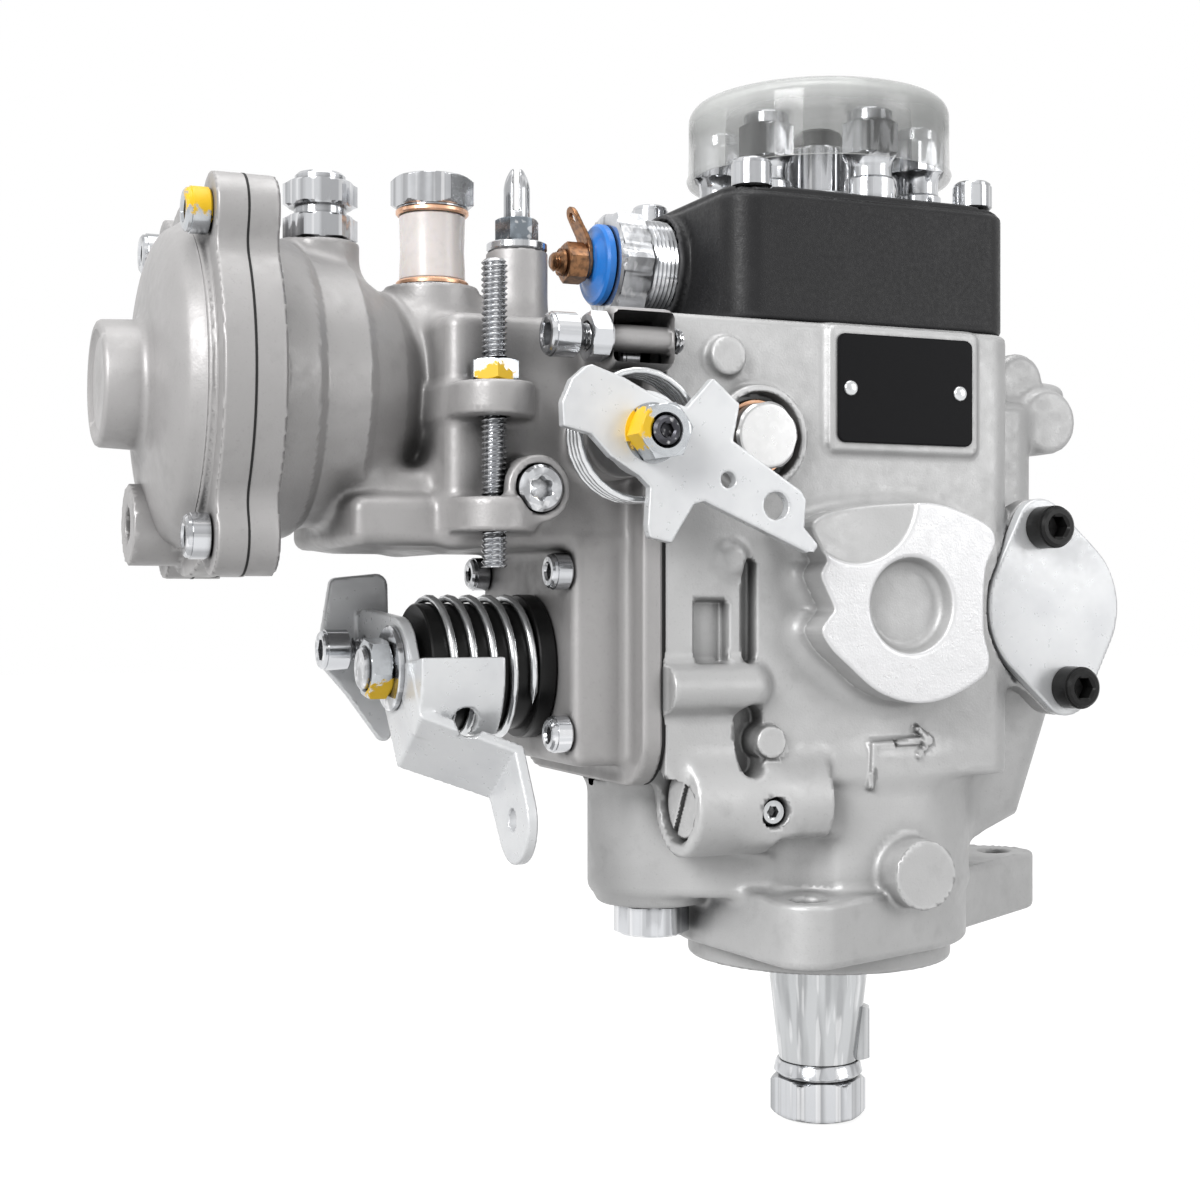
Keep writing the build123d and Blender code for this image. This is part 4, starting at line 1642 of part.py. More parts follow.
# ---- speed lever ------------------------------------------------------------------------------------
with BuildPart() as speed_lever:
    reach = ((SPEED_TIP_Y - SPEED_Y) ** 2 + (SPEED_TIP_Z - SPEED_Z) ** 2) ** 0.5
    arm_y = (SPEED_TIP_Y - SPEED_Y) / reach
    arm_z = (SPEED_TIP_Z - SPEED_Z) / reach
    side_plane = Plane(
        origin=(0, SPEED_Y, SPEED_Z), x_dir=(0, arm_y, arm_z), z_dir=(0, arm_z, -arm_y)
    )
    with BuildSketch(side_plane) as strip:
        with BuildLine():
            Polyline(
                (-SPEED_HUB_R, SPEED_LEVER_X),
                (SPEED_BEND_START, SPEED_LEVER_X),
                (SPEED_BEND_END, SPEED_TIP_X),
                (reach + SPEED_TIP_R, SPEED_TIP_X),
            )
        trace(line_width=SPEED_LEVER_T)
    extrude(strip.sketch, amount=SPEED_HUB_R, both=True)
    sweep_x = SPEED_LEVER_X - SWEEP_ROOM
    end_plane = Plane(origin=(sweep_x, 0, 0), x_dir=(0, 1, 0), z_dir=RIGHT)
    with BuildSketch(end_plane) as arm_outline:
        with Locations((SPEED_Y, SPEED_Z)):
            Circle(SPEED_HUB_R)
        with Locations((SPEED_TIP_Y, SPEED_TIP_Z)):
            Circle(SPEED_TIP_R)
        make_hull()
    extrude(arm_outline.sketch, amount=DEEP, mode=Mode.INTERSECT)
    # the plate that carries the idle screw, with its wing, and the saddle over the spring
    plate_plane = Plane(
        origin=(SPEED_LEVER_X - SPEED_LEVER_T / 2, 0, 0), x_dir=(0, 1, 0), z_dir=RIGHT
    )
    idle_plate = [
        (SPEED_Y, SPEED_Z, SPEED_HUB_R),
        (IDLE_SCREW_Y + LAP, IDLE_SCREW_Z + IDLE_PLATE_RISE, WING_Y - IDLE_SCREW_Y - LAP),
    ]
    web(plate_plane, idle_plate, SPEED_LEVER_T)
    wing = [(x, z, WING_CORNER_R) for x, z in WING]
    web(XZ_FRONT.offset(-WING_Y), wing, SPEED_LEVER_T)
    with BuildSketch(plate_plane) as saddle:
        with BuildLine():
            CenterArc((SPEED_Y, SPEED_Z), SADDLE_R, SADDLE_START, SADDLE_SWEEP)
        trace(line_width=SPEED_LEVER_T)
    extrude(saddle.sketch, amount=SADDLE_L)
    saddle_foot = [(SPEED_Y, SPEED_Z, SPEED_HUB_R)]
    for turn in (SADDLE_START, SADDLE_START + SADDLE_SWEEP):
        foot_y = SPEED_Y + SADDLE_R * cos(radians(turn))
        foot_z = SPEED_Z + SADDLE_R * sin(radians(turn))
        saddle_foot.append((foot_y, foot_z, SPEED_LEVER_T / 2))
    web(plate_plane, saddle_foot, SPEED_LEVER_T)
    rod(
        facing(IDLE_HOLE_X, SPEED_Y, IDLE_HOLE_Z, FRONT),
        IDLE_HOLE_R,
        DEEP,
        mode=Mode.SUBTRACT,
    )
    holes = (
        (sweep_x, IDLE_SCREW_Y, IDLE_SCREW_Z, IDLE_SCREW_R),
        (sweep_x, SPEED_Y, SPEED_Z, SPEED_SHAFT_R),
        (SPEED_TIP_X - SWEEP_ROOM, SPEED_TIP_Y, SPEED_TIP_Z, SPEED_SLOT_R),
    )
    for x, y, z, hole_r in holes:
        rod(facing(x, y, z, RIGHT), hole_r, 2 * SWEEP_ROOM, mode=Mode.SUBTRACT)
keep(speed_lever, "speed_lever")

with BuildPart() as speed_lever_shaft:
    crank_x = LOWER_BOX_X + COVER_WALL + GAP
    rod(facing(SPEED_SHAFT_END_X, SPEED_Y, SPEED_Z, RIGHT), SPEED_SHAFT_R, crank_x - SPEED_SHAFT_END_X)
    rod(facing(crank_x, SPEED_Y, SPEED_Z, RIGHT), SPEED_PIN_OFFSET + CRANK_PIN_R, CRANK_T)
    rod(facing(crank_x, SPEED_Y, SPEED_Z + SPEED_PIN_OFFSET, RIGHT), CRANK_PIN_R, CRANK_PIN_L)
    nut_x = SPEED_LEVER_X - SPEED_LEVER_T / 2 - SPEED_WASHER_T
    rod(facing(nut_x, SPEED_Y, SPEED_Z, RIGHT), SPEED_WASHER_R, SPEED_WASHER_T)
    hex_bar(facing(nut_x, SPEED_Y, SPEED_Z, LEFT), SPEED_NUT_AF, SPEED_NUT_H)
    # idle screw and its locknut, which ride on the lever's plate
    idle_head = facing(IDLE_SCREW_X, IDLE_SCREW_Y, IDLE_SCREW_Z, RIGHT)
    rod(idle_head, IDLE_SCREW_R, IDLE_SCREW_END_X - IDLE_SCREW_X)
    rod(idle_head, STOP_SCREW_HEAD_R, STOP_SCREW_HEAD_L)
    plate_face_x = SPEED_LEVER_X + SPEED_LEVER_T / 2
    hex_bar(facing(plate_face_x, IDLE_SCREW_Y, IDLE_SCREW_Z, RIGHT), LOCKNUT_AF, LOCKNUT_H)
keep(speed_lever_shaft, "speed_lever_shaft")

with BuildPart() as speed_spring:
    spring_x = LOWER_BOX_X - GAP
    spring_l = spring_x - SPEED_LEVER_X - SPEED_LEVER_T / 2 - GAP
    speed_spring_foot = facing(spring_x, SPEED_Y, SPEED_Z, LEFT)
    rod(speed_spring_foot, SPEED_SPRING_R, spring_l)
    rod(speed_spring_foot, SPEED_SPRING_R - SPEED_SPRING_WIRE, DEEP, mode=Mode.SUBTRACT)
keep(speed_spring, "speed_spring")
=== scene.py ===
import math

import bpy
import numpy as np
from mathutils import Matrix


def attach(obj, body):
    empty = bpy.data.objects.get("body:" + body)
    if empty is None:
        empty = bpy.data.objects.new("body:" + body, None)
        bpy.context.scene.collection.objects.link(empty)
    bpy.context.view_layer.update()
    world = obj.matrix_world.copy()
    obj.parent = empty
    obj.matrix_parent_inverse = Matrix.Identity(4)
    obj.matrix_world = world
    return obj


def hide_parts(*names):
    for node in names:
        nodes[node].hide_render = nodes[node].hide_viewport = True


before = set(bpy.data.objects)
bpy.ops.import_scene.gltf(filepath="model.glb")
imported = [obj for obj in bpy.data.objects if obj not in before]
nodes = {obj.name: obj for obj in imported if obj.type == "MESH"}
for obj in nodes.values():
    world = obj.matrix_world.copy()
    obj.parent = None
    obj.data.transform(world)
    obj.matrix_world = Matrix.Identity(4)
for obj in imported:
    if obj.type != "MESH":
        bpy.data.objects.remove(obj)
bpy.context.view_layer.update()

MM = 0.001
FINE = 1.15      # steps of the skins' grids, in mm
SHEET_STEP = 0.6

# ---- distances in mm: negative inside, zero on the surface ----


def join(a, b, k=2.5):
    """Union of two forms. Where their distances differ by less than k, the lower one drops by a
    parabola of up to k/4, which lays a cast fillet along the line where they meet."""
    h = np.maximum(k - np.abs(a - b), 0) / k
    return np.minimum(a, b) - h * h * k / 4


def keep_in(a, b, k=0.8):
    """What two forms share, its edges rounded by the same parabola."""
    h = np.maximum(k - np.abs(a - b), 0) / k
    return np.maximum(a, b) + h * h * k / 4


def cut(a, b, k=0.8):
    """Form a with form b taken out of it."""
    return keep_in(a, -b, k)


def rounded(a, b, edge):
    """Corner of two distances, rounded: their lengths' hypotenuse outside, the larger one inside."""
    a, b = a + edge, b + edge
    return np.minimum(np.maximum(a, b), 0) + np.hypot(np.maximum(a, 0), np.maximum(b, 0)) - edge


def between(u, low, high):
    """Distance past the nearer of two ends."""
    return np.abs(u - (low + high) / 2) - (high - low) / 2


def prism(plan, along, ends, edge=0.8):
    """Outline carried along an axis between two ends, with rounded rims."""
    return rounded(plan, between(along, *ends), edge)


def sheet(u, v, low, high, radius=0.0):
    """Rectangle between two corners, with rounded corners."""
    return rounded(between(u, low[0], high[0]), between(v, low[1], high[1]), radius)


def disc(u, v, centre, radius):
    """Circle: distance from the centre less the radius."""
    return np.hypot(u - centre[0], v - centre[1]) - radius


def link(u, v, a, b):
    """Outline that wraps two circles given as (u, v, radius): the nearer circle's distance past
    either tangent point, and the tangent line's distance between them."""
    du, dv = b[0] - a[0], b[1] - a[1]
    h = math.hypot(du, dv)
    du, dv = du / h, dv / h
    along = (u - a[0]) * du + (v - a[1]) * dv
    aside = np.abs((v - a[1]) * du - (u - a[0]) * dv)
    slope = (a[2] - b[2]) / h
    rise = math.sqrt(1 - slope * slope)
    k = rise * along - slope * aside
    near = np.hypot(along, aside) - a[2]
    far = np.hypot(along - h, aside) - b[2]
    return np.where(k < 0, near, np.where(k > rise * h, far, rise * aside + slope * along - a[2]))


def polygon(u, v, corners):
    """Closed outline through corners: distance to the nearest edge, with its sign from counting
    the edges that a ray crosses."""
    near = np.full(np.broadcast(u, v).shape, 1e9)
    sign = np.ones(near.shape)
    for (au, av), (bu, bv) in zip(corners, corners[-1:] + corners[:-1]):
        eu, ev = bu - au, bv - av
        pu, pv = u - au, v - av
        t = np.clip((pu * eu + pv * ev) / (eu * eu + ev * ev), 0, 1)
        near = np.minimum(near, (pu - eu * t) ** 2 + (pv - ev * t) ** 2)
        above, below, left = pv >= 0, v < bv, eu * pv > ev * pu
        sign = np.where((above & below & left) | (~above & ~below & ~left), -sign, sign)
    return sign * np.sqrt(near)


def ring_of(u, v, circles):
    """Outline that wraps several circles in turn, with the polygon of their centres filled."""
    d = polygon(u, v, [c[:2] for c in circles])
    for a, b in zip(circles, circles[1:] + circles[:1]):
        d = np.minimum(d, link(u, v, a, b))
    return d


def box(x, y, z, low, high, edge=1.0):
    """Rectangular block with rounded edges."""
    return prism(sheet(x, y, low[:2], high[:2], edge), z, (low[2], high[2]), edge)


def rod(x, y, z, axis, centre, ends, radius, edge=0.8):
    """Round bar along one axis. The centre is given in the other two, in their order."""
    along, u, v = {"x": (x, y, z), "y": (y, x, z), "z": (z, x, y)}[axis]
    return prism(disc(u, v, centre, radius), along, ends, edge)


def rods(d, x, y, z, way, *rows):
    """Joins or cuts a row of bars in turn: (axis, centre, ends, radius, edge, fillet)."""
    for axis, centre, ends, radius, edge, fillet in rows:
        d = way(d, rod(x, y, z, axis, centre, ends, radius, edge), fillet)
    return d


# ---- meshes ----


def new_piece(name, points, quads, triangles=(), normals=None, crease=None):
    """Object from arrays: points in mm, then faces of four and of three corners. Given normals shade
    it; otherwise edges over the crease angle stay sharp."""
    triangles = np.asarray(triangles, np.int64).reshape(-1, 3)
    loops = np.concatenate([quads.ravel(), triangles.ravel()])
    counts = np.repeat([4, 3], [len(quads), len(triangles)])
    mesh = bpy.data.meshes.new(name)
    mesh.vertices.add(len(points))
    mesh.vertices.foreach_set("co", (np.asarray(points) * MM).astype(np.float32).ravel())
    mesh.loops.add(len(loops))
    mesh.loops.foreach_set("vertex_index", loops.astype(np.int32))
    mesh.polygons.add(len(counts))
    mesh.polygons.foreach_set("loop_start", np.concatenate([[0], np.cumsum(counts)[:-1]]).astype(np.int32))
    mesh.update(calc_edges=True)
    mesh.validate()
    mesh.shade_smooth()
    if normals is None:
        mesh.set_sharp_from_angle(angle=math.radians(crease))
    else:
        mesh.normals_split_custom_set_from_vertices(normals)
    piece = bpy.data.objects.new(name, mesh)
    bpy.context.scene.collection.objects.link(piece)
    return piece


def slope_of(form, p, reach):
    """Gradient of a form at points: differences over a short reach along each axis."""
    steps = np.eye(3)[:, :, None] * reach
    return np.stack([form(*(p + step)) - form(*(p - step)) for step in steps]) / (2 * reach)


def skin(name, form, low, high, step):
    """Surface of a form. Its distance is taken on a grid. Each cell that the surface crosses gets a
    point at the mean of its edge crossings, and each crossed grid edge a face of the four cells
    round it. The points then slide down the gradient on to the surface, which also shades them."""
    gx, gy, gz = (np.arange(a, b + step, step) for a, b in zip(low, high))
    d = form(gx[:, None, None], gy[None, :, None], gz[None, None, :])
    inside = d < 0
    corners = [(i, j, k) for i in (0, 1) for j in (0, 1) for k in (0, 1)]
    shape = [len(g) - 1 for g in (gx, gy, gz)]
    total = sum(
        inside[i : i + shape[0], j : j + shape[1], k : k + shape[2]].astype(np.int8)
        for i, j, k in corners
    )
    cell = np.argwhere((total > 0) & (total < 8))
    number = np.full(shape, -1, np.int64)
    number[tuple(cell.T)] = np.arange(len(cell))
    value = {c: d[tuple((cell + c).T)] for c in corners}
    place = np.zeros((len(cell), 3))
    crossings = np.zeros(len(cell))
    for a in corners:
        for axis in range(3):
            if a[axis] == 0:
                b = tuple(1 if n == axis else a[n] for n in range(3))
                crossed = (value[a] < 0) != (value[b] < 0)
                t = np.where(crossed, value[a] / np.where(crossed, value[a] - value[b], 1), 0)
                spot = np.array(a, float) + t[:, None] * (np.array(b) - np.array(a))
                place += spot * crossed[:, None]
                crossings += crossed
    p = (np.array(low) + (cell + place / crossings[:, None]) * step).T
    for _ in range(3):
        slope = slope_of(form, p, 0.05)
        length = np.maximum((slope**2).sum(0), 0.2)
        p = p - np.clip(form(*p) / length, -step / 2, step / 2) * slope
    slope = slope_of(form, p, 0.12)
    normals = (slope / np.maximum(np.linalg.norm(slope, axis=0), 1e-6)).T
    faces = []
    for axis in range(3):
        lower, upper = [slice(1, -1)] * 3, [slice(1, -1)] * 3
        lower[axis], upper[axis] = slice(0, -1), slice(1, None)
        start, end = inside[tuple(lower)], inside[tuple(upper)]
        edge = np.argwhere(start != end)
        outward = start[tuple(edge.T)]
        at = edge + 1
        at[:, axis] -= 1
        quad = []
        for du, dv in ((-1, -1), (0, -1), (0, 0), (-1, 0)):
            spot = at.copy()
            spot[:, (axis + 1) % 3] += du
            spot[:, (axis + 2) % 3] += dv
            quad.append(number[tuple(spot.T)])
        quad = np.stack(quad, 1)
        faces.append(np.where(outward[:, None], quad, quad[:, ::-1]))
    return new_piece(name, p.T, np.concatenate(faces), normals=normals)


def base_of(direction):
    """Three unit vectors: along a direction such as "-x", and two across it."""
    along = np.eye(3)["xyz".index(direction[-1])] * (-1 if direction[0] == "-" else 1)
    aside = np.array((0.0, 0.0, 1.0) if direction[-1] != "z" else (1.0, 0.0, 0.0))
    return along, aside, np.cross(along, aside)


def circle(angle, aside, across):
    """Unit vectors at angles in the plane of two others."""
    return np.cos(angle)[..., None] * aside + np.sin(angle)[..., None] * across


def grid_faces(rows, columns, closed=False):
    """Faces of a grid of points whose columns meet again, and its rows too when it is closed."""
    i = np.arange(rows if closed else rows - 1)[:, None]
    j = np.arange(columns)[None, :]
    up, right = (i + 1) % rows, (j + 1) % columns
    quads = [i * columns + j, i * columns + right, up * columns + right, up * columns + j]
    return np.stack(quads, -1).reshape(-1, 4)


def with_insets(rows):
    """Adds a narrow ring inside both rims of each flat face, so that the face between shades flat."""
    full = [rows[0]]
    for a, b in zip(rows, rows[1:]):
        if abs(a[0] - b[0]) < 0.12 and abs(a[1] - b[1]) > 1:
            for near, far in ((a, b), (b, a)):
                if near[1] > 0:
                    part = 0.22 / abs(a[1] - b[1])
                    radius = near[1] + (far[1] - near[1]) * part
                    height = near[0] + (far[0] - near[0]) * part
                    full.append((height, radius, near[2] * radius / near[1], near[3]))
        full.append(b)
    return full


def turned(name, origin, direction, rows, around=72, turn=0.0, crease=30):
    """Turned or milled piece. Each row is (along, radius, across flats, lobes). Its radius at an angle
    is the smaller of the round radius and the hexagon's, times one plus a small wave of six
    lobes. End rows of no radius close the piece."""
    along, aside, across = base_of(direction)
    rows = with_insets([tuple(r) + (0,) * (4 - len(r)) for r in rows])
    h, radius, flats, lobes = (np.array(c, float)[:, None] for c in zip(*rows))
    spin = np.linspace(0, 2 * np.pi, around, endpoint=False)[None, :]
    face = np.cos((spin + np.pi / 6) % (np.pi / 3) - np.pi / 6)
    reach = np.where(flats > 0, np.minimum(radius, flats / 2 / face), radius)
    reach = reach * (1 + lobes * np.cos(6 * spin))
    p = np.array(origin, float) + h[..., None] * along
    p = p + reach[..., None] * circle(spin + math.radians(turn), aside, across)
    return new_piece(name, p.reshape(-1, 3), grid_faces(len(rows), around), crease=crease)


def thread(name, origin, direction, radius, length, pitch=1.0, around=40, tip=0.8):
    """Screw thread: the radius falls and rises once per pitch along the bar and once per turn
    round it, as a triangle wave, and narrows over the tip."""
    along, aside, across = base_of(direction)
    steps = max(int(length / pitch * 8), 8)
    h = np.linspace(0, length, steps)[:, None]
    angle = np.linspace(0, 2 * np.pi, around, endpoint=False)[None, :]
    wave = np.abs((h / pitch - angle / (2 * np.pi)) % 1 - 0.5) * 2
    reach = np.minimum(radius - 0.55 * pitch * wave, radius - np.maximum(tip - (length - h), 0))
    p = np.array(origin, float) + h[..., None] * along
    p = p + reach[..., None] * circle(angle, aside, across)
    p = np.concatenate([p.reshape(-1, 3), [origin], [np.array(origin) + length * along]])
    ring = np.arange(around)
    ends = []
    for start, tip_point, order in ((0, steps * around, -1), ((steps - 1) * around, steps * around + 1, 1)):
        pair = (ring + start, np.roll(ring + start, -1))[::order]
        ends.append(np.stack([*pair, np.full(around, tip_point)], 1))
    return new_piece(name, p, grid_faces(steps, around), np.concatenate(ends), crease=50)


def tube(name, path, radius, around=14):
    """Round wire along a path of points: a circle in the plane square to the path at each point, its sides set square
    to one fixed direction, with its ends drawn in to close it."""
    t = np.gradient(path, axis=0)
    t /= np.linalg.norm(t, axis=1)[:, None]
    side = np.cross(t, np.array((0.3, 0.2, 0.93)))
    side /= np.linalg.norm(side, axis=1)[:, None]
    up = np.cross(side, t)
    angle = np.linspace(0, 2 * np.pi, around, endpoint=False)
    reach = np.full(len(path), float(radius))
    reach[[0, -1]] = radius * 0.02
    p = path[:, None] + reach[:, None, None] * circle(angle[None, :], side[:, None], up[:, None])
    return new_piece(name, p.reshape(-1, 3), grid_faces(len(path), around)[:, ::-1], crease=60)


def coil_path(origin, direction, radius, length, turns, start=0.0, around=30):
    """Helix: a circle of a radius, rising evenly along its axis."""
    along, aside, across = base_of(direction)
    s = np.linspace(0, 1, int(turns * around))
    p = np.array(origin, float) + (s * length)[:, None] * along
    return p + radius * circle(2 * np.pi * s * turns + math.radians(start), aside, across)


# ---- finishes ----


def plug(tree, value, socket):
    """Links a socket, or sets it to a constant."""
    if hasattr(value, "is_linked"):
        tree.links.new(value, socket)
    else:
        socket.default_value = value


def add(tree, kind, *inputs, out=0, **settings):
    """Adds a shader node with its options and its inputs, given as (socket, value)."""
    node = tree.nodes.new("ShaderNode" + kind)
    for key, value in settings.items():
        setattr(node, key, value)
    for key, value in inputs:
        plug(tree, value, node.inputs[key])
    return node.outputs[out]


class Finish:
    """A material under construction. Every pattern reads object coordinates in millimetres."""

    def __init__(self, name, colour, metallic=0.0, rough=0.5, **sockets):
        self.material = bpy.data.materials.new(name)
        self.material.use_nodes = True
        self.tree = self.material.node_tree
        self.shader = self.tree.nodes["Principled BSDF"]
        self.colour = (*colour, 1)
        self.height = None
        sockets.update(Base_Color=self.colour, Metallic=metallic, Roughness=rough)
        for key, value in sockets.items():
            self.shader.inputs[key.replace("_", " ")].default_value = value
        place = add(self.tree, "TexCoord", out="Object")
        self.mm = add(self.tree, "VectorMath", (0, place), ("Scale", 1000), operation="SCALE")

    def put(self, name, value):
        """Links a value to one of the shader's sockets."""
        self.tree.links.new(value, self.shader.inputs[name])

    def maths(self, operation, *values, kind="Math", out=0):
        """Arithmetic on values, or on vectors."""
        return add(self.tree, kind, *enumerate(values), out=out, operation=operation)

    def noise(self, size, detail=3.0, stretch=None):
        """Cloudy pattern of about a size in mm, drawn out along one axis if stretched."""
        place = self.maths("MULTIPLY", self.mm, stretch, kind="VectorMath") if stretch else self.mm
        inputs = ("Vector", place), ("Scale", 1 / size), ("Detail", detail), ("Roughness", 0.55)
        return add(self.tree, "TexNoise", *inputs)

    def ramp(self, value, low, high, to_low=0.0, to_high=1.0):
        """Straight rise from one value to another between two inputs, held beyond them."""
        ends = ("From Min", low), ("From Max", high), ("To Min", to_low), ("To Max", to_high)
        return add(self.tree, "MapRange", ("Value", value), *ends)

    def part(self, axis):
        """One coordinate in mm."""
        return add(self.tree, "SeparateXYZ", (0, self.mm), out=axis)

    def tint(self, mask, colour):
        """Paints a colour over what is there, where the mask is one."""
        inputs = (0, mask), (6, self.colour), (7, (*colour, 1))
        self.colour = add(self.tree, "Mix", *inputs, out=2, data_type="RGBA")
        self.put("Base Color", self.colour)

    def cloud(self, size, detail, low, high, amount, colour, stretch=None):
        """Paints a colour where noise passes a range, up to an amount."""
        self.tint(self.ramp(self.noise(size, detail, stretch), low, high, 0.0, amount), colour)

    def mottle(self, size, low, high):
        """Lets the roughness wander between two values."""
        rough = self.ramp(self.noise(size, 3), 0.3, 0.7, low, high)
        self.put("Roughness", rough)
        return rough

    def relief(self, size, depth, stretch=None):
        """Raises the surface by noise times a depth in mm, on top of earlier relief."""
        inputs = [("Distance", depth * MM), ("Strength", 1.0), ("Height", self.noise(size, 2, stretch))]
        if self.height is not None:
            inputs.append(("Normal", self.height))
        self.height = add(self.tree, "Bump", *inputs)
        self.put("Normal", self.height)

    def paint_shade_in_hollows(self, reach, colour, amount):
        """Paints shade into the colour: darker where the surface around closes in, within a reach in mm, as ambient
        occlusion finds it.
        """
        shade = add(self.tree, "AmbientOcclusion", ("Distance", reach * MM), out="AO", samples=10)
        self.tint(self.ramp(shade, 0.25, 0.85, amount, 0.0), colour)

    def wear(self, low, high, amount, colour):
        """Lightens edges that stand out, where the mesh's pointiness passes a range."""
        edge = add(self.tree, "NewGeometry", out="Pointiness")
        self.tint(self.ramp(edge, low, high, 0.0, amount), colour)


def times(colour, k):
    """Colour scaled by a number."""
    return tuple(c * k for c in colour)


def cast_finish(name, colour, shade, grain=0.05, milled=None):
    """Blasted aluminium casting: a fine grain, soft clouds of tone, a few pits, painted shade in its recesses, and
    nearly white where Y lies past a milled face."""
    f = Finish(name, colour, 0.3, 0.45)
    f.cloud(26, 3, 0.42, 0.68, 0.55, shade)
    f.cloud(7, 4, 0.56, 0.72, 0.4, times(colour, 0.8))
    f.cloud(0.7, 2, 0.62, 0.74, 0.3, times(colour, 0.7))
    rough = f.mottle(3.0, 0.36, 0.52)
    f.wear(0.53, 0.60, 0.55, times(colour, 1.5))
    # painted shade: the colour darkens towards a sixth of itself where ambient occlusion finds the surface closed in
    f.paint_shade_in_hollows(9.0, times(colour, 0.16), 0.85)
    if milled:
        mask = f.ramp(f.part(1), milled + 0.25, milled)
        f.tint(mask, (0.74, 0.74, 0.75))
        f.put("Roughness", f.maths("MULTIPLY_ADD", mask, -0.1, rough))
    f.relief(0.55, grain)
    f.relief(5.0, grain * 2.4)
    return f.material


def zinc_finish(name, colour=(0.60, 0.61, 0.63), rough=0.15, lines=None, dark=0.5):
    """Bright zinc plate: mirror-like, with painted reflections as dark and bright bands of colour drawn out along one
    axis of the piece, and painted shade in its recesses."""
    f = Finish(name, colour, 0.9, rough)
    # painted reflections: dark and bright bands stand in for the surroundings that the metal mirrors; dark sets their
    # strength
    f.cloud(3.6, 1, 0.46, 0.60, dark, times(colour, 0.28), lines)
    f.cloud(1.7, 1, 0.58, 0.66, dark, (0.9, 0.9, 0.91), lines)
    # painted shade: nearly black where ambient occlusion finds the surface closed in
    f.paint_shade_in_hollows(2.5, times(colour, 0.04), 0.95)
    f.mottle(1.6, rough - 0.04, rough + 0.05)
    f.relief(2.4, 0.006)
    return f.material


def black_head_finish():
    """Black oxide on a milled block: a fine sparkle of grain and faint scuffs."""
    f = Finish("black_oxide", (0.016, 0.016, 0.017), 0.0, 0.45, Specular_IOR_Level=0.22)
    f.cloud(9, 4, 0.5, 0.72, 0.5, (0.028, 0.028, 0.029))
    f.cloud(0.35, 2, 0.64, 0.72, 0.5, (0.07, 0.07, 0.07))
    f.wear(0.52, 0.58, 0.35, (0.12, 0.12, 0.125))
    f.mottle(1.2, 0.34, 0.52)
    f.relief(0.5, 0.05)
    return f.material


def moulded_finish(name, colour, rough=0.35, gloss=0.5, **sockets):
    """Moulded plastic or rubber: an even colour with a faint mottle."""
    f = Finish(name, colour, 0.0, rough, Specular_IOR_Level=gloss, **sockets)
    f.cloud(3.0, 3, 0.5, 0.75, 0.4, times(colour, 0.75))
    f.relief(0.8, 0.015)
    return f.material


def clear_finish():
    """Clear plastic: a thin film that is milkier on top, where it turns away and along mould streaks."""
    f = Finish("clear_cap_plastic", (0.70, 0.71, 0.70), rough=0.08)
    film = f.ramp(f.part(2), 206.0, 210.5, 0.05, 0.42)
    streak = f.ramp(f.noise(7.0, 2, (1, 1, 0.1)), 0.4, 0.7, 0.0, 0.06)
    edge = f.maths("MULTIPLY_ADD", add(f.tree, "LayerWeight", ("Blend", 0.25)), 0.45, film)
    f.put("Alpha", f.maths("ADD", edge, streak))
    f.put("Roughness", f.ramp(f.noise(6.0, 2, (1, 1, 0.15)), 0.35, 0.65, 0.04, 0.12))
    f.relief(7.0, 0.1, (1, 1, 0.1))
    return f.material


def bronze_finish():
    """Tarnished bronze, with brown clouds over yellow metal."""
    f = Finish("tarnished_bronze", (0.34, 0.17, 0.08), 0.85, 0.3)
    f.cloud(1.5, 3, 0.42, 0.62, 0.85, (0.13, 0.07, 0.04))
    f.relief(0.6, 0.03)
    return f.material


def white_plate_finish():
    """Bright zinc on flat sheet, nearly white, with faint rolling marks."""
    f = Finish("bright_sheet", (0.70, 0.71, 0.72), 0.3, 0.28)
    f.cloud(12, 3, 0.42, 0.7, 0.6, (0.58, 0.59, 0.61))
    f.mottle(2.0, 0.26, 0.38)
    f.relief(4.0, 0.02)
    return f.material


def paint_mark_finish(name, metal, *places):
    """Zinc with yellow check paint dabbed on in a few places, given as (centre, radius)."""
    f = Finish(name, metal, 1.0, 0.24)
    ragged = f.noise(1.6, 3)
    total = 0.0
    for centre, radius in places:
        apart = f.maths("DISTANCE", f.mm, centre, kind="VectorMath", out="Value")
        reach = f.maths("MULTIPLY_ADD", ragged, -radius * 1.3, apart)
        total = f.maths("MAXIMUM", total, f.ramp(reach, radius * 0.25, radius * 0.4, 1.0, 0.0))
    f.cloud(3.0, 3, 0.45, 0.7, 0.5, times(metal, 0.7))
    # painted shade: nearly black where ambient occlusion finds the surface closed in
    f.paint_shade_in_hollows(2.5, times(metal, 0.06), 0.95)
    f.tint(total, (0.80, 0.50, 0.01))
    f.put("Metallic", f.ramp(total, 0.2, 0.8, 1.0, 0.0))
    f.put("Roughness", f.ramp(total, 0.2, 0.8, 0.2, 0.5))
    return f.material


# Each finish goes with the name of a slot.
BOSS_FACE = -49.7
HOUSING_TONES = (0.49, 0.49, 0.49), (0.58, 0.58, 0.58)
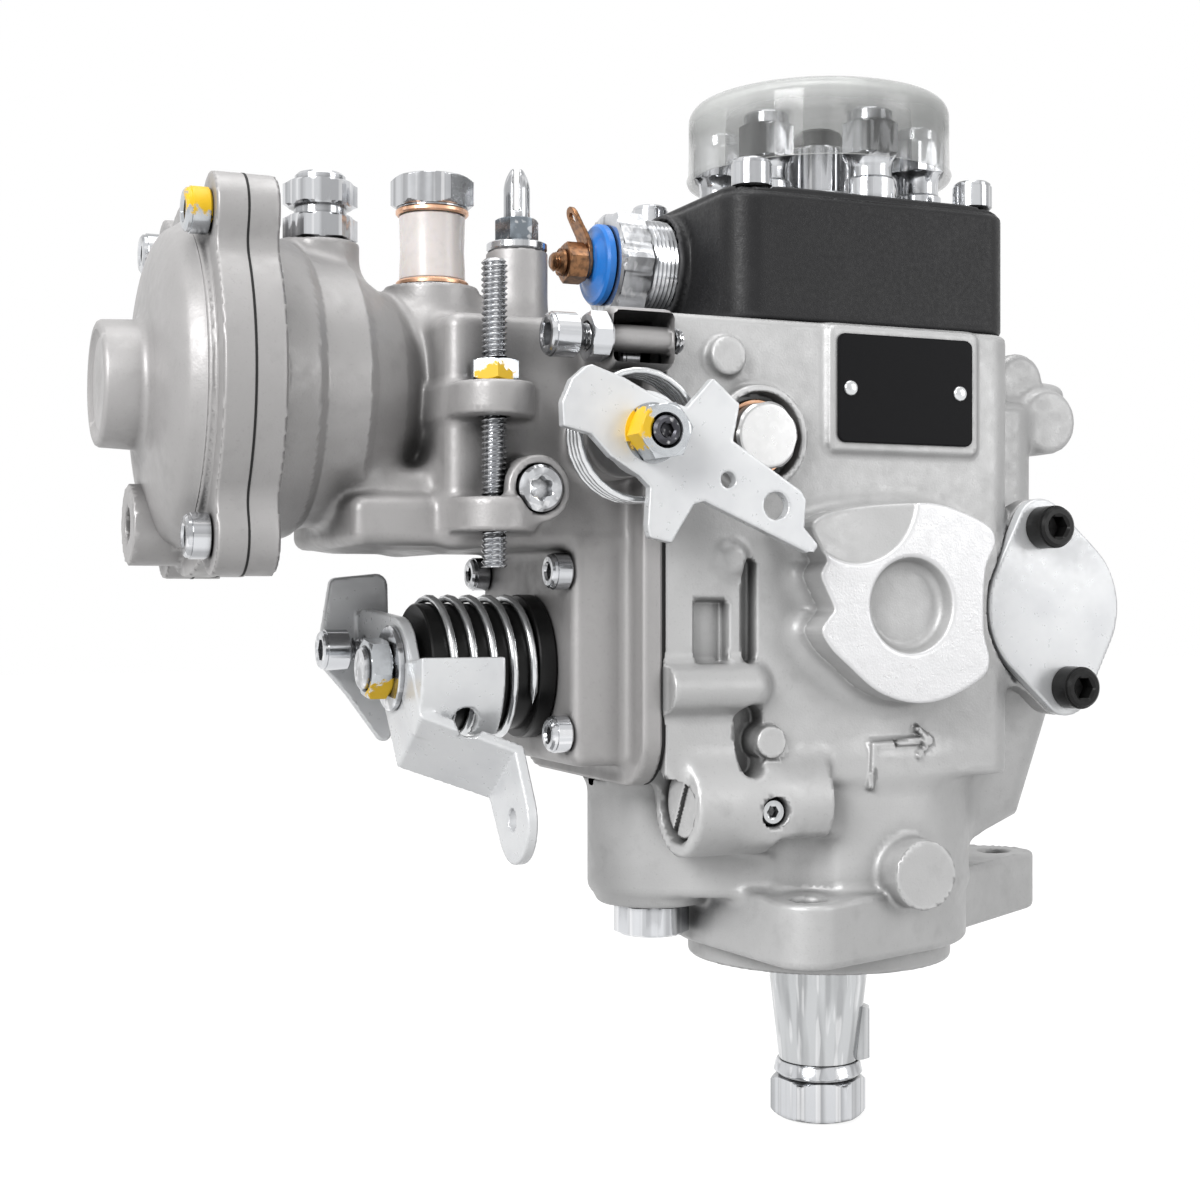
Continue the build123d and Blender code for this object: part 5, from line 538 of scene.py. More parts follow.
# Stretches for the zinc's painted reflection bands, one along each axis.
LENGTHWISE = {"x": (0.01, 1, 1), "y": (1, 0.01, 1), "z": (1, 1, 0.01)}
cast_housing = "cast_housing", cast_finish("cast_aluminium_light", *HOUSING_TONES)
cast_boss = "cast_housing", cast_finish("cast_aluminium_milled", *HOUSING_TONES, milled=BOSS_FACE)
cast_cover = "cast_cover", cast_finish("cast_aluminium_satin", (0.37, 0.362, 0.36), (0.43, 0.42, 0.42), 0.035)
zinc_along = {axis: zinc_finish(f"bright_zinc_{axis}", lines=lines) for axis, lines in LENGTHWISE.items()}
zinc = "zinc_screws", zinc_along["z"]
valve_zinc = "valve_holder_steel", zinc_along["z"]
steel = "ground_steel", zinc_finish("ground_steel", (0.54, 0.55, 0.56), 0.16, LENGTHWISE["z"], 0.4)
bright_wire = "spring_steel", zinc_finish("bright_wire", (0.66, 0.67, 0.68), 0.2, dark=0.1)
blue_zinc = "zinc_screws", zinc_finish("blue_zinc", (0.30, 0.34, 0.38), 0.25)
dark_steel = "zinc_screws", zinc_finish("dark_steel", (0.07, 0.07, 0.08), 0.3)
black_head = "black_head", black_head_finish()
black_plastic = "black_plastic", moulded_finish("black_plastic", (0.008, 0.008, 0.008), 0.3, 0.2)
black_rubber = "gasket", moulded_finish("black_gasket", (0.02, 0.02, 0.02), 0.6, 0.2)
blue_plastic = "blue_plastic", moulded_finish("blue_plastic", (0.02, 0.19, 0.62), 0.25)
milky_plastic = "milky_plastic", moulded_finish("milky_sleeve", (0.83, 0.70, 0.65), 0.25, Subsurface_Weight=0.2)
clear_plastic = "clear_plastic", clear_finish()
bronze = "bronze", bronze_finish()
copper = "copper", zinc_finish("soft_copper", (0.80, 0.47, 0.30), 0.3, dark=0.1)
white_plate = "bright_plate", white_plate_finish()
plug_metal = "machined_plug", zinc_finish("turned_plug", (0.52, 0.52, 0.52), 0.3, dark=0.06)
plate_black = "nameplate_black", moulded_finish("nameplate_black", (0.006, 0.006, 0.007), 0.4, 0.08)
yellow_zinc = "zinc_screws", paint_mark_finish(
    "zinc_with_check_paint", (0.50, 0.52, 0.54),
    ((-165.8, -30.5, 171.5), 4.6), ((-104.5, -40.5, 134.2), 4.4),
    ((-81.5, -61.5, 123.5), 5.6), ((-119.0, -8.0, 64.5), 5.0),
)


def wear_finish(piece, material):
    """Gives a piece one finish."""
    piece.data.materials.clear()
    piece.data.materials.append(material)


def fit(piece, stuff, *replaced, body="root"):
    """Finishes a new piece and hangs it on its body. Bright zinc takes its painted reflection bands along the side
    whose length stands out from the other two."""
    slot, material = stuff
    if material is zinc[1]:
        points = np.empty(len(piece.data.vertices) * 3, np.float32)
        piece.data.vertices.foreach_get("co", points)
        spans = np.ptp(points.reshape(-1, 3), axis=0)
        material = zinc_along["xyz"[int(np.argmax(np.abs(spans - np.median(spans))))]]
    wear_finish(piece, material)
    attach(piece, body)
    if replaced:
        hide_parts(*replaced)
    return piece


def fit_all(node, stuff, pieces):
    """Fits alike pieces, the first of which replaces the node that holds them all."""
    return [fit(piece, stuff, *([] if n else [node])) for n, piece in enumerate(pieces)]


# ---- pump housing ----

SIDES = ((-1, "front"), (1, "back"))
HOUSING_END = -62.3                     # where the casting meets the cover's gasket
TIMING = (46.5, 84.5)
TILT = math.radians(11)
EARS = [(46.5 - s * 20.5 * math.sin(TILT), 84.5 + s * 20.5 * math.cos(TILT), 7.3) for s in (1, -1)]
BOSS_RIM = [
    (-28.9, 104.2), (-18.4, 107.6), (-3.0, 109.0), (6.4, 108.4), (17.6, 104.3), (20.1, 100.3), (17.6, 94.8),
    (16.8, 89.4), (16.8, 78.6), (18.4, 71.8), (16.0, 67.8), (6.4, 63.3), (-3.0, 62.4), (-12.3, 65.2),
    (-20.6, 71.6), (-24.9, 75.4), (-27.2, 79.2), (-25.6, 81.9), (-24.0, 84.3), (-26.0, 88.7), (-27.5, 92.3),
    (-26.0, 95.6), (-27.3, 98.6),
]


def timing_outline(x, z, grow=0.0):
    """Waisted outline of a timing cover: its round middle linked to its two screw ears."""
    middle = (*TIMING, 19.8 + grow)
    d = disc(x, z, middle, middle[2])
    for cx, cz, radius in EARS:
        d = np.minimum(d, link(x, z, middle, (cx, cz, radius + grow)))
    return d


def smooth_loop(corners):
    """Closed curve through corners: between two of them, the cubic whose ends lean along the chords
    of their neighbours."""
    p = np.array(corners)
    before, after, beyond = np.roll(p, 1, 0), np.roll(p, -1, 0), np.roll(p, -2, 0)
    t = (np.arange(5) / 5)[None, :, None]
    lean, next_lean = (after - before)[:, None] / 2, (beyond - p)[:, None] / 2
    curve = p[:, None] * (2 * t**3 - 3 * t**2 + 1) + lean * (t**3 - 2 * t**2 + t)
    curve = curve + after[:, None] * (3 * t**2 - 2 * t**3) + next_lean * (t**3 - t**2)
    return [tuple(c) for c in curve.reshape(-1, 2)]


BOSS_CURVE = smooth_loop(BOSS_RIM)


def boss_outline(x, z):
    """Outline of the big boss: the smooth curve through its rim's points."""
    return polygon(x, z, BOSS_CURVE) - 0.4


def boss_form(x, y, z):
    """Front of the big boss: its outline carried to a milled face, with a shallow dish in the middle and
    a corner at the upper left that falls away from a low arc-shaped edge."""
    d = prism(boss_outline(x, z), y, (-50, -38), 0.7)
    corner = disc(x, z, (-18.0, 111.0), 16.0)
    d = cut(d, prism(corner, y, (-60, -49.3 + 0.22 * np.clip(-corner, 0, 16)), 0.4), 1.0)
    dish = disc(x, z, (-3.2, 85.1), 10.0 + 0.28 * np.clip(-45 - y, 0, 5))
    return cut(d, prism(dish, y, (-60, -45.6), 1.6), 1.0)


def housing_form(x, y, z):
    """The housing's outside: flange, drive end, body, side block, timing cylinder and bosses joined
    with cast fillets, less its pockets, seats, bores and chambers."""
    body = prism(sheet(x, y, (-110, -38), (36, 38), 9), z, (43, 152.6), 1.6)
    body = keep_in(body, HOUSING_END - x, 0.3)
    neck = np.minimum(link(x, y, (0, 0, 38.7), (-48, 0, 16)), disc(x, y, (0, 0), 38.7))
    d = join(body, prism(neck, z, (14, 50), 2), 5)
    d = keep_in(d, np.where(z > 42.7, HOUSING_END - x, -99), 0.3)
    flange = ring_of(x, y, [(0, 0, 38), (-25, -38.5, 9), (65.5, 15, 11), (0, 50, 9)])
    d = join(d, prism(flange, z, (0, 16), 1.6), 3)
    d = rods(d, x, y, z, join, ("z", (0, 0), (-5, 1), 34, 0.8, 0.6), ("z", (-48, 0), (11, 44), 14, 1.5, 3))
    slope = polygon(x, z, [(0, 21), (40, 24), (52, 29), (62, 56), (62, 78), (0, 78)])
    d = join(d, prism(slope + 0.5, y, (-20, 20), 8), 6)
    d = join(d, prism(sheet(x, y, (0, -20), (57, 20), 10), z, (60, 138), 3), 6)
    d = join(d, rod(x, y, z, "y", TIMING, (-35, 35), 21, 1), 5)
    for ends in ((-35, -29), (29, 35)):
        d = join(d, prism(timing_outline(x, z), y, ends, 0.7), 2.5)
    d = join(d, prism(link(x, y, (0, 0, 13), (62, 0, 13)), z, (127, 145), 3), 6)
    d = rods(
        d, x, y, z, join,
        ("y", (54, 144.5), (-14, 12), 7.6, 2.2, 2),
        ("y", (61.5, 134), (-16.5, 14), 8.6, 1.6, 2),
    )
    # bosses on the lever side
    d = join(d, prism(boss_outline(x, z), y, (-42, -25), 0.4), 5)
    d = join(d, rod(x, y, z, "y", (2.6, 20.6), (-47, 0), 8.4, 0.35), 1.6)
    d = join(d, prism(sheet(x, z, (-19.7, 122), (22.3, 152), 2), y, (-39.6, -30), 0.7), 2.2)
    d = rods(
        d, x, y, z, join,
        ("y", (-39, 124.4), (-42, -30), 12.2, 0.6, 2),
        ("y", (-47, 143), (-41, -30), 4.6, 0.8, 1.5),
        ("y", (-36, 37), (-41, -20), 7.5, 1.6, 5),
    )
    gallery = np.hypot(np.hypot(y + 38, z - 66), np.maximum(x + 41, 0)) - 5.6
    d = join(d, keep_in(gallery, HOUSING_END - x, 0.3), 3)
    d = rods(
        d, x, y, z, join,
        ("x", (-31, 38.5), (-56, -20), 12.4, 1, 4),
        ("y", (-45, 96), (-39.6, -30), 3.2, 1.2, 3),
    )
    # raised arrow on the casting
    tip = (8.8, 52.2, 0.9)
    arrow = link(x, z, (-8.0, 41.5, 0.9), (-7.4, 51.4, 0.9))
    for a, b in (((-7.4, 51.6, 0.9), (8.8, 52.4, 0.9)), (tip, (5.2, 48.6, 0.8)), (tip, (5.0, 55.2, 0.8))):
        arrow = np.minimum(arrow, link(x, z, a, b))
    d = join(d, prism(arrow, y, (-40.0, -36), 0.3), 0.5)
    # timing cover seats
    for ends in ((-90, -35), (35, 90)):
        d = cut(d, prism(timing_outline(x, z, 0.5), y, ends, 0.1), 0.7)
    # pocket and groove in the wall, and the knob with its crescent recess
    d = cut(d, prism(sheet(x, z, (-54.6, 71.5), (-46, 86.4), 1.0), y, (-60, -34.4), 0.4), 0.6)
    d = cut(d, prism(sheet(x, z, (-42.2, 71.5), (-38.8, 96), 1.2), y, (-60, -34.2), 0.4), 0.6)
    crescent = link(x, z, (-40.6, 58.5, 3.6), (-40.6, 48.0, 3.0))
    crescent = np.maximum(crescent, 4.3 - np.hypot(x + 35.6, z - 53.2))
    d = cut(d, prism(crescent, y, (-60, -33.0), 0.5), 0.8)
    d = join(d, rod(x, y, z, "y", (-35.6, 53.2), (-40.6, -30), 3.9, 0.5), 0.6)
    # bores that open outwards
    d = rods(
        d, x, y, z, cut,
        ("z", (0, 0), (-20, 3.6), 20.1, 0.2, 0.5),
        ("z", (0, 0), (-20, 20), 13, 0.2, 0.2),
        ("z", (-48, 0), (-20, 20), 6.1, 0.2, 0.3),
        ("y", (-39, 124.4), (-60, -37.6), 10.4, 0.3, 0.4),
        ("y", (-36, 37), (-60, -38.5), 3.6, 0.2, 0.3),
        ("x", (-31, 38.5), (-70, -52), 9.1, 0.2, 0.5),
    )
    for hole in ((-25, -38.5), (0, 50), (65.5, 15)):
        d = rods(d, x, y, z, cut, ("z", hole, (-5, 20), 4.25, 0.2, 0.3), ("z", hole, (16, 30), 9.5, 1.0, 2))
    d = cut(d, rod(x, y, z, "z", (62, 0), (120, 150), 4.25, 0.2), 0.3)
    # chambers for the governor, its gears and the cam
    d = cut(d, box(x, y, z, (-70, -23, 46), (-39, 23, 148), 1.5), 0.5)
    d = cut(d, box(x, y, z, (-42, -22.5, 46), (0, 22.5, 77), 1.5), 0.5)
    return cut(d, rod(x, y, z, "z", (0, 0), (44, 160), 33.8, 1), 0.5)


# The housing's step is a twentieth coarser than FINE, to keep its count of triangles down.
# The step keeps the housing under 200,000 triangles.
housing = skin("pump_housing_casting", housing_form, (-64.5, -52.5, -7), (78.5, 61, 155), FINE * 1.05)
fit(housing, cast_housing, "pump_housing")
boss = skin("pump_housing_boss", boss_form, (-31, -51, 60), (23, -37, 112), min(FINE, 0.6))
fit(boss, cast_boss)

# ---- governor cover with the boost bowl ----

BOOST_Z = 134.5
BOOST_SCREWS = [(side * 27.5, BOOST_Z + rise * 34.5) for side in (-1, 1) for rise in (-1, 1)]
COVER_SCREWS = ((27.5, 55.6, -82.0), (27.5, 93.0, -82.0), (34.0, 142.0, -68.1))
BOWL = [
    (-157, -1), (-157, 36), (-148.5, 35.6), (-141.5, 33.2), (-139.5, 31.4), (-129.5, 30.0), (-127.5, 28.2),
    (-119, 22.5), (-111, 15), (-105, 4), (-105, -1),
]


def boost_rim(y, z):
    """Outline of the compensator's flange: a disc and its four screw ears, filleted where they meet."""
    d = disc(y, z, (0, BOOST_Z), 42.9)
    for side in (-1, 1):
        ends = [(s * side * 27.5, BOOST_Z + s * 34.5, 8.5) for s in (-1, 1)]
        d = join(d, link(y, z, *ends), 5)
    return d


def cover_form(x, y, z):
    """The cover's outside: flange, two boxes, stepped bowl and rim, bosses and lugs joined with cast
    fillets, less its screw seats, bores and chambers."""
    d = prism(sheet(y, z, (-39, 43), (39, 151), 12), x, (-68.1, -63.1), 0.8)
    d = join(d, box(x, y, z, (-82, -31, 48), (-64, 31, 100), 2.5), 3)
    d = join(d, box(x, y, z, (-112, -31, 98), (-64, 31, 151), 3.5), 3)
    d = join(d, polygon(x, np.hypot(y, z - BOOST_Z), BOWL) - 0.4, 4)
    d = join(d, box(x, y, z, (-133, -28, 98.5), (-105, 28, 109.5), 3), 3)
    d = join(d, box(x, y, z, (-128, -22, 100), (-105, 22, 116), 4), 6)
    d = join(d, prism(boost_rim(y, z), x, (-158.2, -150.7), 0.35), 2)
    # bosses for the banjo bolt, the full-load screw and the union
    banjo, full_load = ("z", (-107, -4), (140, 160), 10.75, 0.5, 5), ("z", (-86, -5), (140, 170), 7.4, 0.7, 4)
    d = rods(d, x, y, z, join, banjo, full_load)
    d = join(d, prism(link(x, y, (-107, -4, 6), (-86, -5, 5)), z, (140, 157), 2), 4)
    # and for the lever shafts, the pivot screw and the stop screw
    d = rods(
        d, x, y, z, join,
        ("z", (-133, 0), (150, 169.5), 9, 0.8, 4),
        ("y", (-74.6, 122.6), (-42, -20), 9, 0.8, 3),
        ("x", (-5, 70.5), (-92, -70), 9, 0.8, 3),
        ("y", (-94.5, 111), (-42, -20), 7.5, 0.8, 3),
        ("x", (-43, 145), (-79, -64), 7, 1, 1),
    )
    d = join(d, box(x, y, z, (-79, -43, 139), (-64, -25, 150), 2), 3)
    d = keep_in(d, x + 63.1, 0.3)
    for low in (101.5, 127.0):
        d = join(d, prism(link(x, y, (-103, -36, 9), (-101, -20, 12)), z, (low, low + 7.5), 1), 2.5)
    for py, pz, seat in COVER_SCREWS:
        for side in (-1, 1) if seat < -80 else (1,):
            d = cut(d, rod(x, y, z, "x", (side * py, pz), (seat - 16, seat), 4.5, 0.2), 0.5)
    d = cut(d, rod(x, y, z, "y", (-94.5, 111), (-60, -39.5), 5.5, 0.2), 0.5)
    bores = (
        ("y", (-74.6, 122.6), (-60, 0), 5.1), ("x", (-5, 70.5), (-95, -76), 5.1), ("x", (-43, 145), (-90, -60), 3.1),
        ("z", (-103, -36), (95, 140), 3.1), ("z", (-133, 0), (164.5, 175), 6.1), ("z", (-107, -4), (150, 165), 5.1),
        ("z", (-86, -5), (150, 175), 4.1), *(("x", place, (-160, -148), 3.1) for place in BOOST_SCREWS),
    )
    d = rods(d, x, y, z, cut, *((*bore, 0.2, 0.3) for bore in bores))
    d = cut(d, box(x, y, z, (-78, -23, 52), (-60, 23, 148), 1.5), 0.5)
    d = cut(d, box(x, y, z, (-100, -25, 102), (-60, 25, 147.5), 1.5), 0.5)
    return cut(d, rod(x, y, z, "x", (0, BOOST_Z), (-160, -146), 30.8, 0.5), 0.3)


cover = skin("governor_cover_casting", cover_form, (-159, -47.5, 41), (-61.5, 46.5, 180.5), FINE)
fit(cover, cast_cover, "governor_cover")


def boost_cover_form(x, y, z):
    """The compensator's cover: its flange with the screw seats, and the boss of the hose port."""
    d = prism(boost_rim(y, z), x, (-164.3, -156.9), 0.35)
    port = (7, 103.5)
    disc_and_port = ("x", (0, BOOST_Z), (-166.2, -160), 37.2, 0.9, 1.0), ("x", port, (-176, -160), 9.3, 0.5, 0.7)
    d = rods(d, x, y, z, join, *disc_and_port)
    d = cut(d, rod(x, y, z, "x", port, (-190, -164), 3.6, 0.2), 0.5)
    for place in BOOST_SCREWS:
        hole, seat = ("x", place, (-190, -157), 3.1, 0.2, 0.3), ("x", place, (-190, -164.4), 6.2, 0.2, 0.6)
        d = rods(d, x, y, z, cut, hole, seat)
    return d


flange = skin("boost_cover_casting", boost_cover_form, (-178, -46, 88), (-156.5, 46.5, 181), min(FINE, 1.0))
fit(flange, cast_cover, "boost_cover")


def bell_rows():
    """The dome's profile: a bead, a hollow, a bell whose height falls as the 2.6th root of one less the
    2.6th power of the radius, a cove, and a turned boss with a shallow dish."""
    rows = [(158.5, 36.6), (166.3, 36.6), (166.75, 36.2)]
    rows += [(166.5 + 8.0 * (1 - (r / 35.6) ** 2.6) ** (1 / 2.6), r) for r in np.linspace(35.4, 17.6, 26)]
    cove = np.radians((10, 30, 50, 70, 90))
    rows += [(174.5 + 1.9 * (1 - math.cos(a)), 16.2 - 1.7 * math.sin(a)) for a in cove]
    return rows + [(183.0, 14.2), (183.7, 13.8), (184.0, 13.1), (184.0, 12.0), (183.3, 11.2), (183.1, 10.4), (183.1, 0)]


def seam_band(rays=360):
    """Edge of the diaphragm between the two flanges: a thin band a tenth of a millimetre proud of their
    outline, which is found along rays by halving."""
    turn = np.linspace(0, 2 * np.pi, rays, endpoint=False)
    inner, outer = np.full(rays, 30.0), np.full(rays, 60.0)
    for _ in range(24):
        middle = (inner + outer) / 2
        past = boost_rim(middle * np.cos(turn), BOOST_Z + middle * np.sin(turn)) > 0
        inner, outer = np.where(past, inner, middle), np.where(past, middle, outer)
    points = []
    for x, grow in ((-157.8, -1.5), (-157.8, 0.1), (-157.3, 0.1), (-157.3, -1.5)):
        reach = inner + grow
        points.append(np.stack([np.full(rays, x), reach * np.cos(turn), BOOST_Z + reach * np.sin(turn)], 1))
    return new_piece("boost_diaphragm_edge", np.concatenate(points), grid_faces(4, rays, closed=True), crease=30)


fit(seam_band(), black_rubber)
dome = turned("boost_cover_dome", (0, 0, BOOST_Z), "-x", [(158.5, 0), *bell_rows()], around=144, crease=40)
fit(dome, cast_cover)

# ---- distributor head ----


def head_form(x, y, z):
    """The hydraulic head: a milled block with a round-cornered plan, a low step round its top, screw
    seats, six outlet spot faces and the shut-off valve's bore."""
    d = prism(sheet(x, y, (-43.5, -36), (35.5, 36), 8), z, (152.8, 183), 1.2)
    d = join(d, prism(sheet(x, y, (-42.3, -34.8), (34.3, 34.8), 7), z, (170, 184.9), 0.8), 0.6)
    d = join(d, rod(x, y, z, "x", (0, 169.5), (-46.5, -40), 13.6, 0.6), 1)
    d = cut(d, rod(x, y, z, "x", (0, 169.5), (-70, -31.5), 12.1, 0.2), 0.3)
    for turn in np.radians(range(30, 390, 60)):
        d = cut(d, rod(x, y, z, "z", (25.5 * math.cos(turn), 25.5 * math.sin(turn)), (171, 190), 6.1, 0.2), 0.6)
    d = cut(d, rod(x, y, z, "z", (0, 0), (178, 190), 11.1, 0.2), 0.3)
    for place in ((-35, -29), (28, -29), (-35, 29), (28, 29)):
        seat, hole = ("z", place, (184.2, 190), 5.9, 0.2, 0.4), ("z", place, (150, 190), 3.1, 0.2, 0.3)
        d = rods(d, x, y, z, cut, seat, hole)
    return cut(d, rod(x, y, z, "z", (0, 0), (150, 180), 6.5, 0.2), 0.3)


head = skin("distributor_head_block", head_form, (-48, -38, 151), (37.5, 38, 186.5), min(FINE, 1.2))
fit(head, black_head, "distributor_head")

# ---- screws, nuts and unions ----


def socket_screw(name, place, direction, radius, height, key):
    """Socket cap screw: a barrel with bevelled ends and a hexagon socket down its middle."""
    rows = [
        (0, 0), (0, radius - 0.5), (0.5, radius + 0.05), (height - 1.3, radius + 0.05), (height - 1.2, radius - 0.25),
        (height - 0.5, radius - 0.3), (height, radius - 0.9), (height, key * 0.66), (height - 0.5, key * 0.6, key),
        (height * 0.38, key * 0.6, key), (height * 0.3, 0),
    ]
    return turned(name, place, direction, rows, crease=25)


def hex_nut(name, place, direction, flats, height, bore=0.0, washer=0.0, turn=0.0):
    """Hexagon nut or head: six flats whose corners are turned off by a 30 degree chamfer at both ends,
    over a washer face."""
    side, corner = flats / 2, flats / math.sqrt(3)
    chamfer = [((corner - side) * 0.58 * k / 4, side + (corner - side) * k / 4) for k in (1, 2, 3, 4)]
    rows = [(0, bore), (0, washer or side - 0.2), (0.35, washer or side), (0.36, side)]
    rows += [(0.36 + rise, radius, flats) for rise, radius in chamfer]
    rows += [(height - rise, radius, flats) for rise, radius in chamfer[::-1]] + [(height, side - 0.1)]
    rows += [(height, bore + 0.6), (height - 0.6, bore), (0, bore)] if bore else [(height, 0)]
    return turned(name, place, direction, rows, around=96, turn=turn, crease=22)


def bar(name, place, direction, length, radius, bevel=0.4, start=0.0):
    """Plain turned bar with bevelled ends."""
    rows = [
        (start, 0), (start, radius - bevel), (start + bevel, radius), (length - bevel, radius),
        (length, radius - bevel), (length, 0),
    ]
    return turned(name, place, direction, rows, around=48)


def ring(low, high, inner, outer, along, across):
    """Rows of a washer with bevelled rims."""
    rim = [(low, outer - across), (low + along, outer), (high - along, outer), (high, outer - across)]
    return [(low, inner), *rim, (high, inner), (low, inner)]


fit_all("cover_screws", zinc, [
    socket_screw(f"cover_screw_{face}_{n + 1}", (seat, side * py, pz), "-x", 4.2, 5.0, 3.4)
    for side, face in SIDES for n, (py, pz, seat) in enumerate(COVER_SCREWS)
])
STAR = [
    (-4.0, 0), (-4.0, 4.8), (-3.4, 5.2), (0.8, 5.2), (1.5, 4.6), (1.5, 2.9), (1.3, 2.45, 0, 0.11),
    (-1.4, 2.35, 0, 0.11), (-1.6, 0),
]
fit(turned("full_load_pivot_screw", (-94.5, -42.0, 111.0), "-y", STAR, around=120, crease=35), zinc)
fit_all("head_screws", zinc, [
    socket_screw(f"head_screw_{face}_{end}", (cx, side * 29, 184.9), "z", 4.85, 6.95, 5.0)
    for side, face in SIDES for cx, end in ((-35, "left"), (28, "right"))
])
boost_screws = fit_all("boost_screws", zinc, [
    socket_screw(f"boost_screw_{face}_{level}", (-164.3, side * 27.5, BOOST_Z + rise * 34.5), "-x", 4.95, 5.45, 4.3)
    for side, face in SIDES for rise, level in ((-1, "low"), (1, "high"))
])
wear_finish(boost_screws[1], yellow_zinc[1])

# outlets under the cap
HOLDER = [
    (172, 0), (172, 6.2), (190.4, 6.2), (191.0, 5.6), (193.2, 5.4), (195.2, 5.8), (196.3, 6.6),
    (196.7, 13.5 / math.sqrt(3), 13.5), (203.9, 13.5 / math.sqrt(3), 13.5), (204.6, 6.7), (204.8, 6.3), (204.8, 5.6),
    (207.4, 5.6), (208.0, 5.0), (208.0, 4.2), (205.6, 2.0), (176, 2.0), (175.5, 0),
]
fit_all("delivery_valve_holders", valve_zinc, [
    turned(f"delivery_valve_holder_{n + 1}", (25.5 * math.cos(a), 25.5 * math.sin(a), 0), "z", HOLDER, turn=30 + 60 * n)
    for n, a in enumerate(np.radians(range(30, 390, 60)))
])
rows = [
    (178, 0), (178, 11), (184.9, 11), (185, 12.2), (190.2, 12.4), (190.9, 11.8), (190.9, 8.6), (191.0, 9.0, 16),
    (202.8, 9.0, 16), (203.4, 8.0), (203.75, 7.4), (203.75, 0),
]
fit(turned("head_plug_hexagon", (0, 0, 0), "z", rows, around=96), zinc, "head_plug")
rows = [(203.8, 0), (203.8, 6.0), (204.3, 6.4), (206.6, 6.4), (207.8, 5.9), (208.5, 4.8), (208.6, 0)]
fit(turned("bleed_cap_disc", (0, 0, 0), "z", rows), black_plastic, "bleed_cap")


def bell(name):
    """The cap as a surface of revolution: up its outside, over the shoulder, then back down its inside,
    each radius swelling by a faint six-fold wave from the mould."""
    shoulder = [(math.cos(a), math.sin(a)) for a in np.radians(np.linspace(0, 90, 9))]
    rows = [(195, 33.4), (195.1, 34.1), (195.9, 34.45), (196.8, 34.1), (197.4, 33.95), (204, 33.85)]
    rows += [(210.8 + 4.1 * v, 29.75 + 4.1 * u) for u, v in shoulder]
    rows += [(214.9, 24), (214.7, 12), (214.65, 0), (213.5, 0), (213.6, 12), (213.8, 24)]
    rows += [(210.8 + 3.0 * v, 29.75 + 3.0 * u) for u, v in shoulder[::-1]]
    rows += [(204, 32.75), (195.4, 32.9), (195, 33.4)]
    return turned(name, (0, 0, 0), "z", [(h, r, 0, 0.0025) for h, r in rows], around=144, crease=40)


fit(bell("outlet_cap_bell"), clear_plastic, "outlet_cap")

# shut-off valve, its blue insulator and its bronze terminal
axis = (0, 0, 169.5)
rows = [(31.7, 0), (31.7, 11.9), *((44 + 0.55 * k, 11.5 if k % 2 else 11.95) for k in range(16))]
rows += [(52.95, 11.6), (53.0, 12.0), (53.4, 13.86, 24), (60.4, 13.86, 24), (60.9, 12.6), (61.4, 11.8)]
rows += [(61.45, 10.4), (61.45, 0)]
fit(turned("shutoff_valve_body", axis, "-x", rows, around=120, crease=25), valve_zinc, "shutoff_body")
rows = [(61.5, 2.5), (61.5, 9.3), (61.9, 9.95), (63.4, 9.95), (64.0, 9.3), (64.1, 8.0), (65.0, 6.2)]
rows += [(65.2, 5.6), (65.2, 2.5), (61.5, 2.5)]
fit(turned("terminal_insulator_ring", axis, "-x", rows), blue_plastic, "terminal_insulator")
fit(thread("terminal_stud_thread", (-61.6, 0, 169.5), "-x", 2.45, 13.6, 0.8), bronze, "terminal_stud")
fit(hex_nut("terminal_nut", (-66.4, 0, 169.5), "-x", 9, 5.4, turn=12), bronze)
fit(bar("terminal_nut_dome", (-71.6, 0, 169.5), "-x", 1.9, 3.4, 1.3), bronze)


def tab_form(x, y, z):
    """Terminal tab: a thin strip with round ends, its outer end bent outwards by a cosine ramp."""
    up = z - 169.5
    lift = -4.2 * (1 - np.cos(np.clip((up - 3) / 12, 0, 1) * np.pi)) / 2
    d = prism(link(y, up, (0, 0, 3.6), (0, 11.0, 2.8)), x - lift, (-66.4, -65.3), 0.2)
    return cut(d, rod(x, y, z, "x", (0, 180.6), (-75, -60), 1.2, 0.1), 0.1)


fit(skin("terminal_tab", tab_form, (-72.0, -4.6, 165), (-64.6, 4.6, 184.5), 0.35), bronze)

# hose union on the bowl
rows = [
    (-5, 0), (-5, 5.9), (0.0, 6.0), (0.1, 7.3), (0.6, 8.66, 15), (5.4, 8.66, 15), (5.9, 7.4), (6.0, 6.1), (8.0, 6.1),
    (8.1, 7.4), (8.6, 8.66, 15), (13.4, 8.66, 15), (13.9, 7.4), (14.0, 5.9), (15.3, 5.9), (16.0, 5.2), (16.0, 3.0),
    (15.5, 2.5), (4, 2.5), (4, 0),
]
union = turned("boost_union_body", (-133, 0, 169.5), "z", rows, around=96, turn=20, crease=25)
fit(union, zinc, "boost_union")

